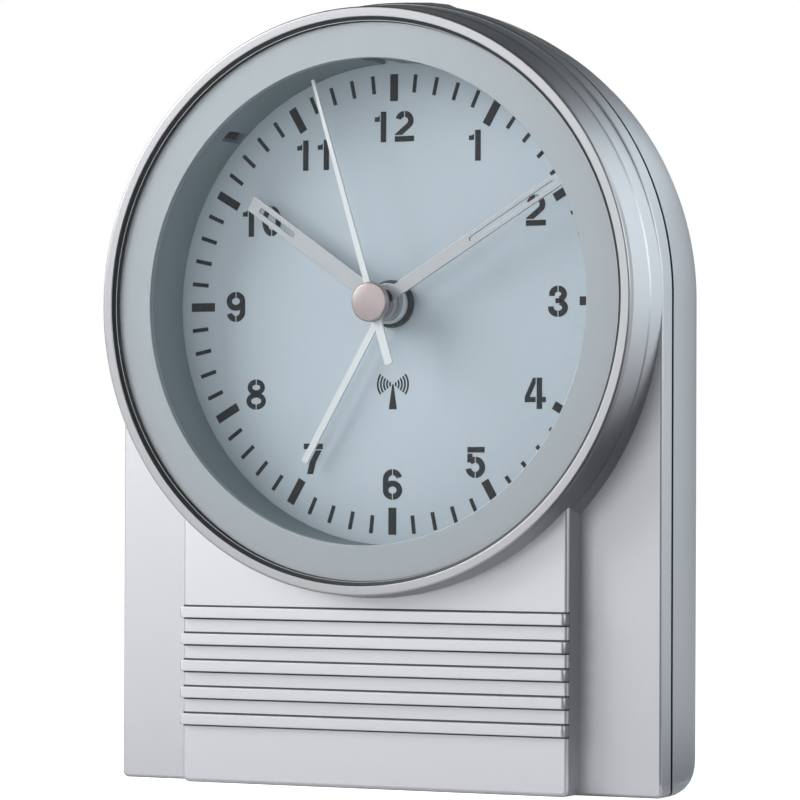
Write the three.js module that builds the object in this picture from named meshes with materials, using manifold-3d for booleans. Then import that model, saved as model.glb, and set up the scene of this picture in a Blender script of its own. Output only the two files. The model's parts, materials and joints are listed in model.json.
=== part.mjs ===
// A radio-controlled alarm clock: an arch-shaped silver case with a round drum in front,
// a clear crystal over a deep dial with four hands, and a geared movement behind it.
// Millimetres, +Z up. The clock faces -Y and stands on Z = 0, with X = 0 on its centre line.
import * as THREE from 'three';
import { mergeVertices } from 'three/addons/utils/BufferGeometryUtils.js';
import Module from 'manifold-3d';

const wasm = await Module();
wasm.setup();

// Fits
const SEAT_GAP = 0.15; // between two pieces that rest on each other
const FIT_GAP = 0.3; // round a piece that drops into a recess
const PIVOT_GAP = 0.12; // between a turning shaft and its hole
const CUT_OVER = 1; // how far a cutting tool runs past a face

// Roundness: sides of a full circle
const LARGE_ROUND = 64;
const SMALL_ROUND = 16;
const TINY_ROUND = 8;
const CORNER_STEPS = 4; // steps in one rounded corner
const EDGE_STEPS = 3; // steps across a rounded edge
const SKIN_STEPS = 7; // steps round the rear housing's skin
const ROUND_CORNER = 1 - Math.SQRT1_2; // middle of a rounded edge, as a share of its radius

// Dial and what surrounds it, from the middle outwards
const DIAL_HEIGHT = 80.5; // dial centre above the table
const DIAL_VIEW_RADIUS = 40.2;
const RING_FACE_WIDTH = 5.5;
const BEZEL_CONE_WIDTH = 1.05;
const BEZEL_FACE_WIDTH = 1.45;
const BEZEL_OVERHANG = 0.25; // bezel past the drum's front edge
const DRUM_FLARE = 0.5;
const DRUM_STEP = 0.4;
const DRUM_FOOT_FLARE = 1.0;
const DRUM_FOOT_MARGIN = 0.15; // drum foot inside the case's edge

// Depths along Y, measured from the flat front panel
const DRUM_DEPTH = 9.5;
const DRUM_FOOT_DEPTH = 2.5;
const BEZEL_THICKNESS = 0.85;
const BEZEL_EDGE = 0.35;
const RING_DEPTH = 8.5; // silver dial ring in front of the panel
const RING_THICKNESS = 1.2;
const CRYSTAL_THICKNESS = 0.9;
const DIAL_SETBACK = 3.1; // dial face behind the panel
const DIAL_THICKNESS = 1.0;
const FRONT_RIM_DEPTH = 3.3; // panel face to the seam
const SEAM_GAP = 0.4;

// Housings
const PANEL_EDGE_RADIUS = 0.9;
const CASE_CORNER_RADIUS = 1.0;
const ARCH_LIFT = 0.5; // arch centre above the dial centre
const CASE_WALL = 2.0;
const PANEL_WALL = 1.8;
const REAR_INSET = 3.9; // how far the rear housing rounds in
const DRUM_WALL = 0.9;
const RING_LEDGE = 1.5; // shelf inside the drum that carries the dial ring
const DIAL_COLLAR_WALL = 1.15;
const LIP_WALL = 0.95;
const LIP_REACH = 1.2;
const LIP_ROOT = 2.2;

// Plinth with its ribs
const PLINTH_HALF_WIDTH = 35.6;
const PLINTH_DEPTH = 4.8;
const PLINTH_EDGE_RADIUS = 0.9;
const RIB_COUNT = 5;
const RIB_TOP = 29.8;
const RIB_PITCH = 4.5;
const RIB_HEIGHT = 2.05;
const RIB_DEPTH = 1.3;
const RIB_EDGE = 0.25;

// Dial wall with the lamp window and the key slot
const DIAL_WALL_THICKNESS = 1.1;
const KEY_SLOT_WIDTH = 3.4;
const LAMP_ANGLE = -44.8; // degrees clockwise from 12
const LAMP_WINDOW_WIDTH = 2.3;
const LAMP_WINDOW_LENGTH = 6.1;
const LAMP_WINDOW_LIFT = 0.7; // above the dial
const LAMP_WIDTH = 3.0;
const LAMP_LENGTH = 3.2;

// Hands: rest angles in degrees clockwise from 12, lengths from the axis
const HAND_THICKNESS = 0.4;
const HOUR_ANGLE = 304.8;
const HOUR_LENGTH = 30.5;
const HOUR_WIDTH = 2.45;
const MINUTE_ANGLE = 59.0;
const MINUTE_LENGTH = 38.0;
const MINUTE_WIDTH = 2.2;
const SECOND_ANGLE = 343.1;
const SECOND_LENGTH = 39.0;
const SECOND_TAIL = 10.8;
const SECOND_TAIL_WIDTH = 1.5;
const SECOND_ROOT_WIDTH = 1.2;
const SECOND_TIP_WIDTH = 0.55;
const ALARM_ANGLE = 210;
const ALARM_LENGTH = 30.4;
const ALARM_WIDTH = 1.05;
const HAND_SLOT_WIDTH = 1.1;
const HAND_SLOT_END = 2.1; // closed end of a slot to the hand's tip
const HOUR_SLOT_LENGTH = 8.2;
const MINUTE_SLOT_LENGTH = 17.8;
const HAND_HUB_GAP = 0.25; // between stacked hubs
const ALARM_HUB_LENGTH = 1.4;
const HOUR_HUB_LENGTH = 0.95;
const MINUTE_HUB_LENGTH = 1.5;
const SECOND_HUB_LENGTH = 2.0;
const ALARM_HUB_RADIUS = 3.4;
const HOUR_HUB_RADIUS = 3.2;
const MINUTE_HUB_RADIUS = 3.0;
const SECOND_HUB_RADIUS = 2.2;
const HUB_FIT = 0.1; // hand hub on its pipe
const CAP_RADIUS = 3.3;
const CAP_LENGTH = 1.1;
const CAP_EDGE = 0.35;

// Concentric pipes of the movement, from the second arbor outwards
const SECOND_ARBOR_RADIUS = 0.45;
const PIPE_WALL = 0.5;
const PIPE_GAP = 0.15;
const BUSH_WALL = 0.7;
const BUSH_REACH = 1.1; // hub bush in front of the dial
const HUB_RING_WALL = 0.6;

// Movement box
const PLATE_HALF = 30;
const PLATE_CORNER = 4;
const PLATE_THICKNESS = 1.4;
const COVER_WALL = 1.2;
const WHEEL_THICKNESS = 1.0;
const WHEEL_GAP = 0.3; // between wheels of neighbouring layers
const WHEEL_LAYERS = 6;

// Gears: every wheel shares one module
const GEAR_MODULE = 0.5;
const CANNON_TEETH = 10;
const MOTION_WHEEL_TEETH = 30;
const MOTION_PINION_TEETH = 8;
const HOUR_TEETH = 32;
const ALARM_TEETH = 36;
const ALARM_PINION_TEETH = 12;
const DRIVEN_TEETH = 32;
const TRANSFER_PINION_TEETH = 8;
const TRANSFER_TEETH = 30;
const ROTOR_TEETH = 6;
const ARBOR_RADIUS = 0.4;
const TOOTH_ADDENDUM = 0.85; // in modules
const TOOTH_DEDENDUM = 1.15;
const TOOTH_ROOT_SHARE = 0.56; // of the tooth pitch
const TOOTH_TIP_SHARE = 0.16;

// Stepper motors
const MAGNET_RADIUS = 1.9;
const MAGNET_LENGTH = 2.0;
const STATOR_LENGTH = 22;
const STATOR_WIDTH = 7;
const STATOR_LEG = 4;
const STATOR_THICKNESS = 1.0;
const STATOR_AIR_GAP = 0.5;
const COIL_RADIUS = 2.6;
const COIL_LENGTH = 12;
const COIL_OFFSET = 6.5; // coil axis to rotor axis

// Alarm setting knob on the back
const ALARM_SHAFT_RADIUS = 1.0;
const KNOB_RADIUS = 6;
const KNOB_LENGTH = 3.5;
const KNOB_FLUTES = 20;
const KNOB_FLUTE_DEPTH = 0.45;

// Snooze and light button on the crown
const SNOOZE_HALF_WIDTH = 8.5;
const SNOOZE_FRONT = 2.8; // from the seam
const SNOOZE_LENGTH = 8;
const SNOOZE_RISE = 0.55;
const SNOOZE_TRAVEL = 1.2;
const SNOOZE_FLANGE = 1.5;
const SNOOZE_FLANGE_DROP = 5.0; // flange top below the crown
const SNOOZE_STEM_RADIUS = 1.8;
const SWITCH_WIDTH = 8;
const SWITCH_DEPTH = 6;
const SWITCH_HEIGHT = 4;

// Controls on the back, level with the circuit board and the aerial
const CONTROL_GAP = 3.15; // movement to the aerial's clips
const BUTTON_RADIUS = 2.2;
const BUTTON_FLANGE = 0.9;
const BUTTON_PROUD = 0.6;
const BUTTON_TRAVEL = 0.7;
const BUTTON_FIRST_X = 6;
const BUTTON_PITCH = 9;
const SLIDER_X = -22;
const SLIDER_WIDTH = 5;
const SLIDER_HEIGHT = 4;
const SLIDER_PROUD = 1.0;
const SLIDER_TRAVEL = 4;
const SLIDER_FLANGE = 2.5;
const FLANGE_THICKNESS = 0.8;

// Circuit board and aerial
const BOARD_HALF_WIDTH = 34;
const BOARD_HALF_HEIGHT = 6;
const BOARD_CORNER = 1;
const BOARD_THICKNESS = 1.2;
const BOARD_POST_RADIUS = 2;
const BOARD_POST_INSET = 2.5;
const TACT_SIZE = 4;
const TACT_HEIGHT = 0.8;
const AERIAL_RADIUS = 4;
const AERIAL_HALF_LENGTH = 30;
const AERIAL_COIL_WALL = 1.0;
const AERIAL_COIL_LENGTH = 16;
const AERIAL_GAP = 0.75; // aerial clips to the circuit board
const CLIP_X = 22;
const CLIP_WIDTH = 4;
const CLIP_WALL = 1.2;

// Buzzer behind the sound slots
const BUZZER_X = -12;
const BUZZER_LIFT = 12; // above the dial centre
const BUZZER_RADIUS = 9;
const BUZZER_THICKNESS = 2.8;
const BUZZER_CLEARANCE = 1.3; // movement cover to buzzer
const BUZZER_WALL = 1.0;
const SOUND_SLOT_COUNT = 5;
const SOUND_SLOT_WIDTH = 1.2;
const SOUND_SLOT_CORNER = 0.5;
const SOUND_SLOT_PITCH = 2.6;
const SOUND_SLOT_LENGTH = 11;

// Battery bay, one AA cell lying across the case
const CELL_RADIUS = 7.2;
const CELL_LENGTH = 49.2;
const CELL_NUB_RADIUS = 2.7;
const CELL_NUB_LENGTH = 1.2;
const BAY_DROP = 4.8; // circuit board to the battery bay
const BAY_WALL = 1.4;
const BAY_CLEARANCE = 0.6; // round the cell
const CONTACT_THICKNESS = 0.4;
const SPRING_TURNS = 3.5;
const SPRING_LENGTH = 5.2;
const SPRING_BASE_RADIUS = 4.6;
const SPRING_TOP_RADIUS = 2.6;
const SPRING_WIRE = 0.35;
const DOOR_THICKNESS = 1.6;
const DOOR_LEDGE = 1.6; // door past the bay opening
const DOOR_CORNER = 1;
const DOOR_GRIP_COUNT = 3;
const DOOR_GRIP_LENGTH = 14;
const DOOR_GRIP_WIDTH = 0.7;
const DOOR_GRIP_PITCH = 1.8;
const DOOR_GRIP_PROUD = 0.4;
const THUMB_NOTCH_RADIUS = 5;
const THUMB_NOTCH_DEPTH = 0.9;

// Case screws and feet
const SCREW_HEAD_RADIUS = 2.6;
const SCREW_HEAD_LENGTH = 1.8;
const SCREW_RADIUS = 1.3;
const SCREW_LENGTH = 6.4;
const SCREW_FLOOR = 2.6;
const SCREW_WALL = 0.9;
const SCREW_X = 39;
const SCREW_LOW_HEIGHT = 11;
const SCREW_HIGH_HEIGHT = 44;
const FRONT_BOSS_REACH = 2.4; // past the seam
const FOOT_RADIUS = 4;
const FOOT_THICKNESS = 0.8;
const FOOT_X = 33;
const FOOT_SETBACK = 11; // from the seam
const FOOT_BOSS_WALL = 0.6;
const FOOT_BOSS_HEIGHT = 3;
const POST_RADIUS = 2.5;
const POST_OFFSET = 25;

// Radii and depths that follow from the sizes above
const ringEdge = DIAL_VIEW_RADIUS + RING_FACE_WIDTH;
const bezelFaceInner = ringEdge + BEZEL_CONE_WIDTH;
const bezelRadius = bezelFaceInner + BEZEL_FACE_WIDTH;
const drumFrontRadius = bezelRadius - BEZEL_OVERHANG;
const drumWaistRadius = drumFrontRadius + DRUM_FLARE;
const drumStepRadius = drumWaistRadius + DRUM_STEP;
const drumFootRadius = drumStepRadius + DRUM_FOOT_FLARE;
const caseHalfWidth = drumFootRadius + DRUM_FOOT_MARGIN;
const archHeight = DIAL_HEIGHT + ARCH_LIFT;
const crown = archHeight + caseHalfWidth;
const drumBore = drumFrontRadius - DRUM_WALL;
const ledgeBore = drumBore - RING_LEDGE;
const collarRadius = ledgeBore + DIAL_COLLAR_WALL;

const drumFront = -DRUM_DEPTH;
const bezelBack = drumFront - SEAT_GAP;
const bezelFront = bezelBack - BEZEL_THICKNESS;
const ringFront = -RING_DEPTH;
const ringBack = ringFront + RING_THICKNESS;
const crystalBack = ringFront - SEAT_GAP;
const crystalFront = crystalBack - CRYSTAL_THICKNESS;
const dialFace = DIAL_SETBACK;
const dialBack = dialFace + DIAL_THICKNESS;
const seamFront = FRONT_RIM_DEPTH;
const seamRear = seamFront + SEAM_GAP;
const plateFront = dialBack + FIT_GAP;
const plateBack = plateFront + PLATE_THICKNESS;
const layerFront = (layer) => plateBack + WHEEL_GAP + layer * (WHEEL_THICKNESS + WHEEL_GAP);
const layerBack = (layer) => layerFront(layer) + WHEEL_THICKNESS;
const coverFront = layerBack(WHEEL_LAYERS - 1) + WHEEL_GAP;
const coverBack = coverFront + PLATE_THICKNESS;

// The movement and the buzzer behind it set how deep the rear housing is
const backInside = coverBack + BUZZER_CLEARANCE + BUZZER_THICKNESS + FIT_GAP;
const backFace = backInside + CASE_WALL;
const rearDepth = backFace - seamRear;

// The controls hang under the movement, and the battery bay under the circuit board
const clipReach = AERIAL_RADIUS + SEAT_GAP + CLIP_WALL;
const controlHeight = DIAL_HEIGHT - PLATE_HALF - CONTROL_GAP - clipReach;
const bayTop = controlHeight - BOARD_HALF_HEIGHT - BAY_DROP;
const cellHeight = bayTop - BAY_WALL - BAY_CLEARANCE - CELL_RADIUS;

const minutePipeInner = SECOND_ARBOR_RADIUS + PIPE_GAP;
const minutePipeOuter = minutePipeInner + PIPE_WALL;
const hourPipeInner = minutePipeOuter + PIPE_GAP;
const hourPipeOuter = hourPipeInner + PIPE_WALL;
const alarmPipeInner = hourPipeOuter + PIPE_GAP;
const alarmPipeOuter = alarmPipeInner + PIPE_WALL;
const bushInner = alarmPipeOuter + PIPE_GAP;
const bushOuter = bushInner + BUSH_WALL;

// Hub stack in front of the bush; a hub's front face carries its hand's blade
const bushFront = dialFace - BUSH_REACH;
const alarmHubBack = bushFront - HAND_HUB_GAP;
const alarmHubFront = alarmHubBack - ALARM_HUB_LENGTH;
const hourHubBack = alarmHubFront - HAND_HUB_GAP;
const hourHubFront = hourHubBack - HOUR_HUB_LENGTH;
const minuteHubBack = hourHubFront - HAND_HUB_GAP;
const minuteHubFront = minuteHubBack - MINUTE_HUB_LENGTH;
const secondHubBack = minuteHubFront - HAND_HUB_GAP;
const secondHubFront = secondHubBack - SECOND_HUB_LENGTH;
const capBack = secondHubFront - SEAT_GAP;
const capFront = capBack - CAP_LENGTH;

// Materials
const material = (color, roughness, metalness, extra = {}) => () =>
  new THREE.MeshStandardMaterial({ color, roughness, metalness, ...extra });
const silverPaint = material(0xc8c9cb, 0.42, 0.35);
const polishedSilver = material(0xd8d6d8, 0.15, 0.9);
const clearAcrylic = material(0xf4f8fa, 0.04, 0, { transparent: true, opacity: 0.12 });
const ringSilver = material(0xb4bbbe, 0.4, 0.4);
const slatePlastic = material(0x54636a, 0.5, 0);
const dialPaint = material(0xa9b8c1, 0.6, 0.1);
const handSilver = material(0xd6d9db, 0.3, 0.6);
const capNickel = material(0xb3a7a6, 0.3, 0.7);
const blackPlastic = material(0x1c1f21, 0.5, 0);
const darkPlastic = material(0x3a4145, 0.5, 0);
const whitePlastic = material(0xe6e4dc, 0.55, 0);
const steel = material(0xb7b9bb, 0.35, 0.9);
const copper = material(0xb5703c, 0.35, 0.8);
const boardGreen = material(0x2c6b45, 0.55, 0);
const ferrite = material(0x3b3b3d, 0.7, 0.1);
const cellWrap = material(0x4a5560, 0.4, 0.3);
const footRubber = material(0x2a2c2e, 0.85, 0);
const lampClear = material(0xe9eef0, 0.2, 0);
const brass = material(0xc9a85a, 0.3, 0.9);

// A closed three.js geometry as a solid for cutting and joining, with its faces turned outwards
function solid(geometry) {
  const bare = geometry.clone();
  bare.deleteAttribute('normal');
  bare.deleteAttribute('uv');
  const merged = mergeVertices(bare, 1e-4);
  const corners = merged.attributes.position.array;
  const index = merged.index.array;
  const kept = [];
  let volume = 0;
  for (let i = 0; i < index.length; i += 3) {
    const [a, b, c] = index.slice(i, i + 3);
    if (a === b || b === c || c === a) continue;
    kept.push(a, b, c);
    const [p, q, r] = [a, b, c].map((n) => new THREE.Vector3().fromArray(corners, n * 3));
    volume += p.dot(q.cross(r));
  }
  if (volume < 0) kept.reverse();
  return new wasm.Manifold(new wasm.Mesh({
    numProp: 3,
    vertProperties: Float32Array.from(corners),
    triVerts: Uint32Array.from(kept),
  }));
}

const joined = (...pieces) => pieces.reduce((whole, piece) => whole.add(piece));
const cut = (piece, ...tools) => tools.reduce((whole, tool) => whole.subtract(tool), piece);

// A profile of [radius, y] points turned about an axis along Y
function turned(profile, x = 0, z = DIAL_HEIGHT, sides = LARGE_ROUND) {
  const points = profile.map(([radius, y]) => new THREE.Vector2(radius, y));
  return solid(new THREE.LatheGeometry(points, sides).translate(x, 0, z));
}

function rod(radius, front, back, x = 0, z = DIAL_HEIGHT, sides = SMALL_ROUND) {
  return turned([[0, front], [radius, front], [radius, back], [0, back]], x, z, sides);
}

function tube(inner, outer, front, back, x = 0, z = DIAL_HEIGHT, sides = SMALL_ROUND) {
  const ring = [[inner, front], [outer, front], [outer, back], [inner, back], [inner, front]];
  return turned(ring, x, z, sides);
}

// A rod along X or Z
function crossRod(radius, from, to, axis, centre, sides = SMALL_ROUND) {
  const geometry = new THREE.CylinderGeometry(radius, radius, to - from, sides);
  geometry.translate(0, (from + to) / 2, 0);
  if (axis === 'x') geometry.rotateZ(-Math.PI / 2);
  else geometry.rotateX(Math.PI / 2);
  return solid(geometry.translate(centre.x ?? 0, centre.y ?? 0, centre.z ?? 0));
}

function block(low, high) {
  const size = high.map((value, axis) => value - low[axis]);
  const middle = high.map((value, axis) => (value + low[axis]) / 2);
  return solid(new THREE.BoxGeometry(...size).translate(...middle));
}

// An upright outline (its x and y become X and Z) given thickness from front to back
function plate(shape, front, back, { angle = 0, x = 0, z = 0, arcSteps = CORNER_STEPS } = {}) {
  const geometry = new THREE.ExtrudeGeometry(shape, {
    depth: back - front,
    bevelEnabled: false,
    curveSegments: arcSteps / 2,
  });
  geometry.rotateX(Math.PI / 2).translate(0, back, 0);
  geometry.rotateY(THREE.MathUtils.degToRad(angle)).translate(x, 0, z);
  return solid(geometry);
}

function roundedRectangle(halfWidth, halfHeight, corner) {
  const shape = new THREE.Shape();
  const [w, h, r] = [halfWidth, halfHeight, corner];
  shape.absarc(w - r, -h + r, r, -Math.PI / 2, 0);
  shape.absarc(w - r, h - r, r, 0, Math.PI / 2);
  shape.absarc(-w + r, h - r, r, Math.PI / 2, Math.PI);
  shape.absarc(-w + r, -h + r, r, Math.PI, 1.5 * Math.PI);
  shape.closePath();
  return shape;
}

// A skin through loops of equal length, closed by a flat cap at each end
function loft(loops) {
  const count = loops[0].length;
  const positions = loops.flat().flatMap((point) => [point.x, point.y, point.z]);
  const index = [];
  for (let ring = 0; ring + 1 < loops.length; ring += 1) {
    for (let i = 0; i < count; i += 1) {
      const [a, b] = [ring * count + i, ring * count + (i + 1) % count];
      index.push(a, b, b + count, a, b + count, a + count);
    }
  }
  const flat = loops[0].map((point) => new THREE.Vector2(point.x, point.z));
  const last = (loops.length - 1) * count;
  for (const [a, b, c] of THREE.ShapeUtils.triangulateShape(flat, [])) {
    index.push(c, b, a, a + last, b + last, c + last);
  }
  const geometry = new THREE.BufferGeometry();
  geometry.setAttribute('position', new THREE.Float32BufferAttribute(positions, 3));
  geometry.setIndex(index);
  return solid(geometry);
}

// The case's outline at one depth, drawn in by an inset: straight sides under a half circle
function archLoop(inset, y, corner = CASE_CORNER_RADIUS) {
  const half = caseHalfWidth - inset;
  const path = new THREE.Path();
  path.absarc(half - corner, inset + corner, corner, -Math.PI / 2, 0);
  path.absarc(0, archHeight, half, 0, Math.PI);
  path.absarc(-half + corner, inset + corner, corner, Math.PI, 1.5 * Math.PI);
  const turns = path.curves.filter((curve) => curve.isEllipseCurve);
  const points = turns.flatMap((turn, i) => turn.getPoints(i === 1 ? LARGE_ROUND / 2 : CORNER_STEPS));
  return points.map((point) => new THREE.Vector3(point.x, y, point.y));
}

// A gear outline with straight-flanked teeth; one tooth points along the given angle
function gearShape(teeth, toothAngle, bore) {
  const pitchRadius = teeth * GEAR_MODULE / 2;
  const tip = pitchRadius + TOOTH_ADDENDUM * GEAR_MODULE;
  const root = pitchRadius - TOOTH_DEDENDUM * GEAR_MODULE;
  const step = 2 * Math.PI / teeth;
  const corners = [
    [root, -TOOTH_ROOT_SHARE / 2],
    [tip, -TOOTH_TIP_SHARE / 2],
    [tip, TOOTH_TIP_SHARE / 2],
    [root, TOOTH_ROOT_SHARE / 2],
  ];
  const shape = new THREE.Shape();
  const points = [];
  for (let tooth = 0; tooth < teeth; tooth += 1) {
    for (const [radius, share] of corners) {
      const angle = toothAngle + (tooth + share) * step;
      points.push(new THREE.Vector2(radius * Math.cos(angle), radius * Math.sin(angle)));
    }
  }
  shape.setFromPoints(points);
  if (bore > 0) shape.holes.push(new THREE.Path().absarc(0, 0, bore, 0, 2 * Math.PI));
  return shape;
}

const centreDistance = (teethA, teethB) => (teethA + teethB) * GEAR_MODULE / 2;

// The angle of one tooth on a gear that meshes with another whose tooth points at it
const meshAngle = (direction, teeth) => direction + Math.PI + Math.PI / teeth;

const pointAt = (from, distance, direction) => ({
  x: from.x + distance * Math.cos(direction),
  z: from.z + distance * Math.sin(direction),
});

function gear(teeth, layer, centre, toothAngle, bore = 0) {
  const shape = gearShape(teeth, toothAngle, bore);
  return plate(shape, layerFront(layer), layerBack(layer), { ...centre, arcSteps: SMALL_ROUND });
}

const clock = new THREE.Group();

function addNode(name, piece, makeMaterial) {
  const { vertProperties, triVerts } = piece.getMesh();
  const geometry = new THREE.BufferGeometry();
  geometry.setAttribute('position', new THREE.BufferAttribute(vertProperties, 3));
  geometry.setIndex(new THREE.BufferAttribute(triVerts, 1));
  geometry.computeVertexNormals();
  const mesh = new THREE.Mesh(geometry, makeMaterial());
  mesh.name = name;
  clock.add(mesh);
}

const axis = { x: 0, z: DIAL_HEIGHT };
const onBothSides = [['left', -1], ['right', 1]];

// Front housing: arch panel, stepped drum, ribbed plinth and the bosses that take the case screws
function quarterTurn(steps) {
  return Array.from({ length: steps + 1 }, (_, i) => (i / steps) * Math.PI / 2);
}

function panelShell() {
  const edge = quarterTurn(EDGE_STEPS).map((turn) => archLoop(
    PANEL_EDGE_RADIUS * (1 - Math.sin(turn)),
    PANEL_EDGE_RADIUS * (1 - Math.cos(turn)),
  ));
  const outside = loft([...edge, archLoop(0, seamFront)]);
  const inside = loft([archLoop(CASE_WALL, PANEL_WALL), archLoop(CASE_WALL, seamFront + CUT_OVER)]);
  return cut(outside, inside);
}

function drumSolid() {
  return turned([
    [0, drumFront],
    [drumFrontRadius, drumFront],
    [drumWaistRadius, -DRUM_FOOT_DEPTH],
    [drumStepRadius, -DRUM_FOOT_DEPTH],
    [drumFootRadius, 0],
    [drumFootRadius, PANEL_EDGE_RADIUS / 2],
    [collarRadius, PANEL_EDGE_RADIUS],
    [collarRadius, seamFront],
    [0, seamFront],
  ]);
}

// Plan outline with rounded front corners, swept up from one height to another
function frontStrip(depth, back, bottom, top, edge) {
  const [w, r] = [PLINTH_HALF_WIDTH, PLINTH_EDGE_RADIUS];
  const plan = new THREE.Shape();
  plan.moveTo(w - edge, back);
  plan.lineTo(-w + edge, back);
  plan.absarc(-w + r, -depth + r, r - edge, Math.PI, 1.5 * Math.PI);
  plan.absarc(w - r, -depth + r, r - edge, 1.5 * Math.PI, 2 * Math.PI);
  plan.closePath();
  const geometry = new THREE.ExtrudeGeometry(plan, {
    depth: top - bottom - 2 * edge,
    curveSegments: CORNER_STEPS,
    bevelEnabled: edge > 0,
    bevelSize: edge,
    bevelThickness: edge,
    bevelSegments: 1,
  });
  return solid(geometry.translate(0, 0, bottom + edge));
}

function plinthShell(drum) {
  const top = DIAL_HEIGHT - ledgeBore / 2; // hidden inside the drum
  const strips = [frontStrip(PLINTH_DEPTH, PANEL_WALL, 0, top, 0)];
  for (let rib = 0; rib < RIB_COUNT; rib += 1) {
    const ribTop = RIB_TOP - rib * RIB_PITCH;
    strips.push(frontStrip(PLINTH_DEPTH + RIB_DEPTH, 0, ribTop - RIB_HEIGHT, ribTop, RIB_EDGE));
  }
  const hollow = block(
    [-PLINTH_HALF_WIDTH + CASE_WALL, -PLINTH_DEPTH + PANEL_WALL, CASE_WALL],
    [PLINTH_HALF_WIDTH - CASE_WALL, seamFront + CUT_OVER, top],
  );
  return { plinth: joined(...strips), hollow: cut(hollow, drum) };
}

const screwPlaces = onBothSides.flatMap(([side, sign]) => [
  { name: `case_screw_low_${side}`, x: sign * SCREW_X, z: SCREW_LOW_HEIGHT },
  { name: `case_screw_high_${side}`, x: sign * SCREW_X, z: SCREW_HIGH_HEIGHT },
]);
const bossBack = seamRear + FRONT_BOSS_REACH;
const wellFloorFront = bossBack + SEAT_GAP;
const wellFloorBack = wellFloorFront + SCREW_FLOOR;
const headFront = wellFloorBack + SEAT_GAP;
const screwTip = headFront - SCREW_LENGTH;
const wellRadius = SCREW_HEAD_RADIUS + FIT_GAP;
const wellOuter = wellRadius + SCREW_WALL;

function frontHousing() {
  const drum = drumSolid();
  const { plinth, hollow } = plinthShell(drum);
  const bosses = screwPlaces.map(({ x, z }) => rod(wellOuter, PANEL_WALL / 2, bossBack, x, z));
  const pilots = screwPlaces.map(({ x, z }) =>
    rod(SCREW_RADIUS + PIVOT_GAP, screwTip - FIT_GAP, bossBack + CUT_OVER, x, z, TINY_ROUND));
  const bore = turned([
    [0, drumFront - CUT_OVER],
    [drumBore, drumFront - CUT_OVER],
    [drumBore, ringBack + SEAT_GAP],
    [ledgeBore, ringBack + SEAT_GAP],
    [ledgeBore, seamFront + CUT_OVER],
    [0, seamFront + CUT_OVER],
  ]);
  const body = joined(panelShell(), drum, plinth, ...bosses);
  return cut(body, hollow, bore, ...pilots);
}

// Bezel, crystal, dial ring, dial wall, dial plate and lamp
function bezelRing() {
  const skirt = drumBore - SEAT_GAP;
  const skirtBack = ringFront - SEAT_GAP;
  return turned([
    [skirt, bezelBack],
    [bezelRadius, bezelBack],
    [bezelRadius, bezelFront + BEZEL_EDGE],
    [bezelRadius - BEZEL_EDGE * ROUND_CORNER, bezelFront + BEZEL_EDGE * ROUND_CORNER],
    [bezelRadius - BEZEL_EDGE, bezelFront],
    [bezelFaceInner, bezelFront],
    [ringEdge, skirtBack],
    [skirt, skirtBack],
    [skirt, bezelBack],
  ]);
}

function crystal() {
  return rod(ringEdge - SEAT_GAP, crystalFront, crystalBack, 0, DIAL_HEIGHT, LARGE_ROUND);
}

function dialRing() {
  const outer = drumBore - SEAT_GAP;
  return tube(DIAL_VIEW_RADIUS, outer, ringFront, ringBack, 0, DIAL_HEIGHT, LARGE_ROUND);
}

const wallInner = DIAL_VIEW_RADIUS + SEAT_GAP;
const wallOuter = wallInner + DIAL_WALL_THICKNESS;
const lampBack = dialFace - SEAT_GAP;

// A bar that crosses the dial wall at an angle, in clock degrees
function wallCutter(width, front, back, angle) {
  const shape = new THREE.Shape();
  shape.moveTo(-width / 2, wallInner - CUT_OVER);
  shape.lineTo(width / 2, wallInner - CUT_OVER);
  shape.lineTo(width / 2, wallOuter + CUT_OVER);
  shape.lineTo(-width / 2, wallOuter + CUT_OVER);
  shape.closePath();
  return plate(shape, front, back, { angle, z: DIAL_HEIGHT });
}

function dialWall() {
  const front = ringBack + SEAT_GAP;
  const back = dialFace - SEAT_GAP;
  const wall = tube(wallInner, wallOuter, front, back, 0, DIAL_HEIGHT, LARGE_ROUND);
  const slot = wallCutter(KEY_SLOT_WIDTH, front - CUT_OVER, back + CUT_OVER, 0);
  const windowBack = dialFace - LAMP_WINDOW_LIFT;
  const window = wallCutter(LAMP_WINDOW_WIDTH, windowBack - LAMP_WINDOW_LENGTH, windowBack, LAMP_ANGLE);
  return cut(wall, slot, window);
}

function dialPlate() {
  const radius = ledgeBore - FIT_GAP;
  return tube(bushOuter + FIT_GAP, radius, dialFace, dialBack, 0, DIAL_HEIGHT, LARGE_ROUND);
}

// A bullet-shaped lamp that stands on the dial plate and shines in through the window
function dialLamp() {
  const near = wallOuter + FIT_GAP + LAMP_WIDTH / 2;
  const far = wallOuter + FIT_GAP + LAMP_LENGTH;
  const shape = new THREE.Shape();
  shape.moveTo(LAMP_WIDTH / 2, far);
  shape.lineTo(-LAMP_WIDTH / 2, far);
  shape.absarc(0, near, LAMP_WIDTH / 2, Math.PI, 2 * Math.PI);
  shape.closePath();
  const front = lampBack - LAMP_WINDOW_LIFT - LAMP_WINDOW_LENGTH;
  const place = { angle: LAMP_ANGLE, z: DIAL_HEIGHT };
  return plate(shape, front, lampBack, { ...place, arcSteps: SMALL_ROUND / 2 });
}

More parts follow.
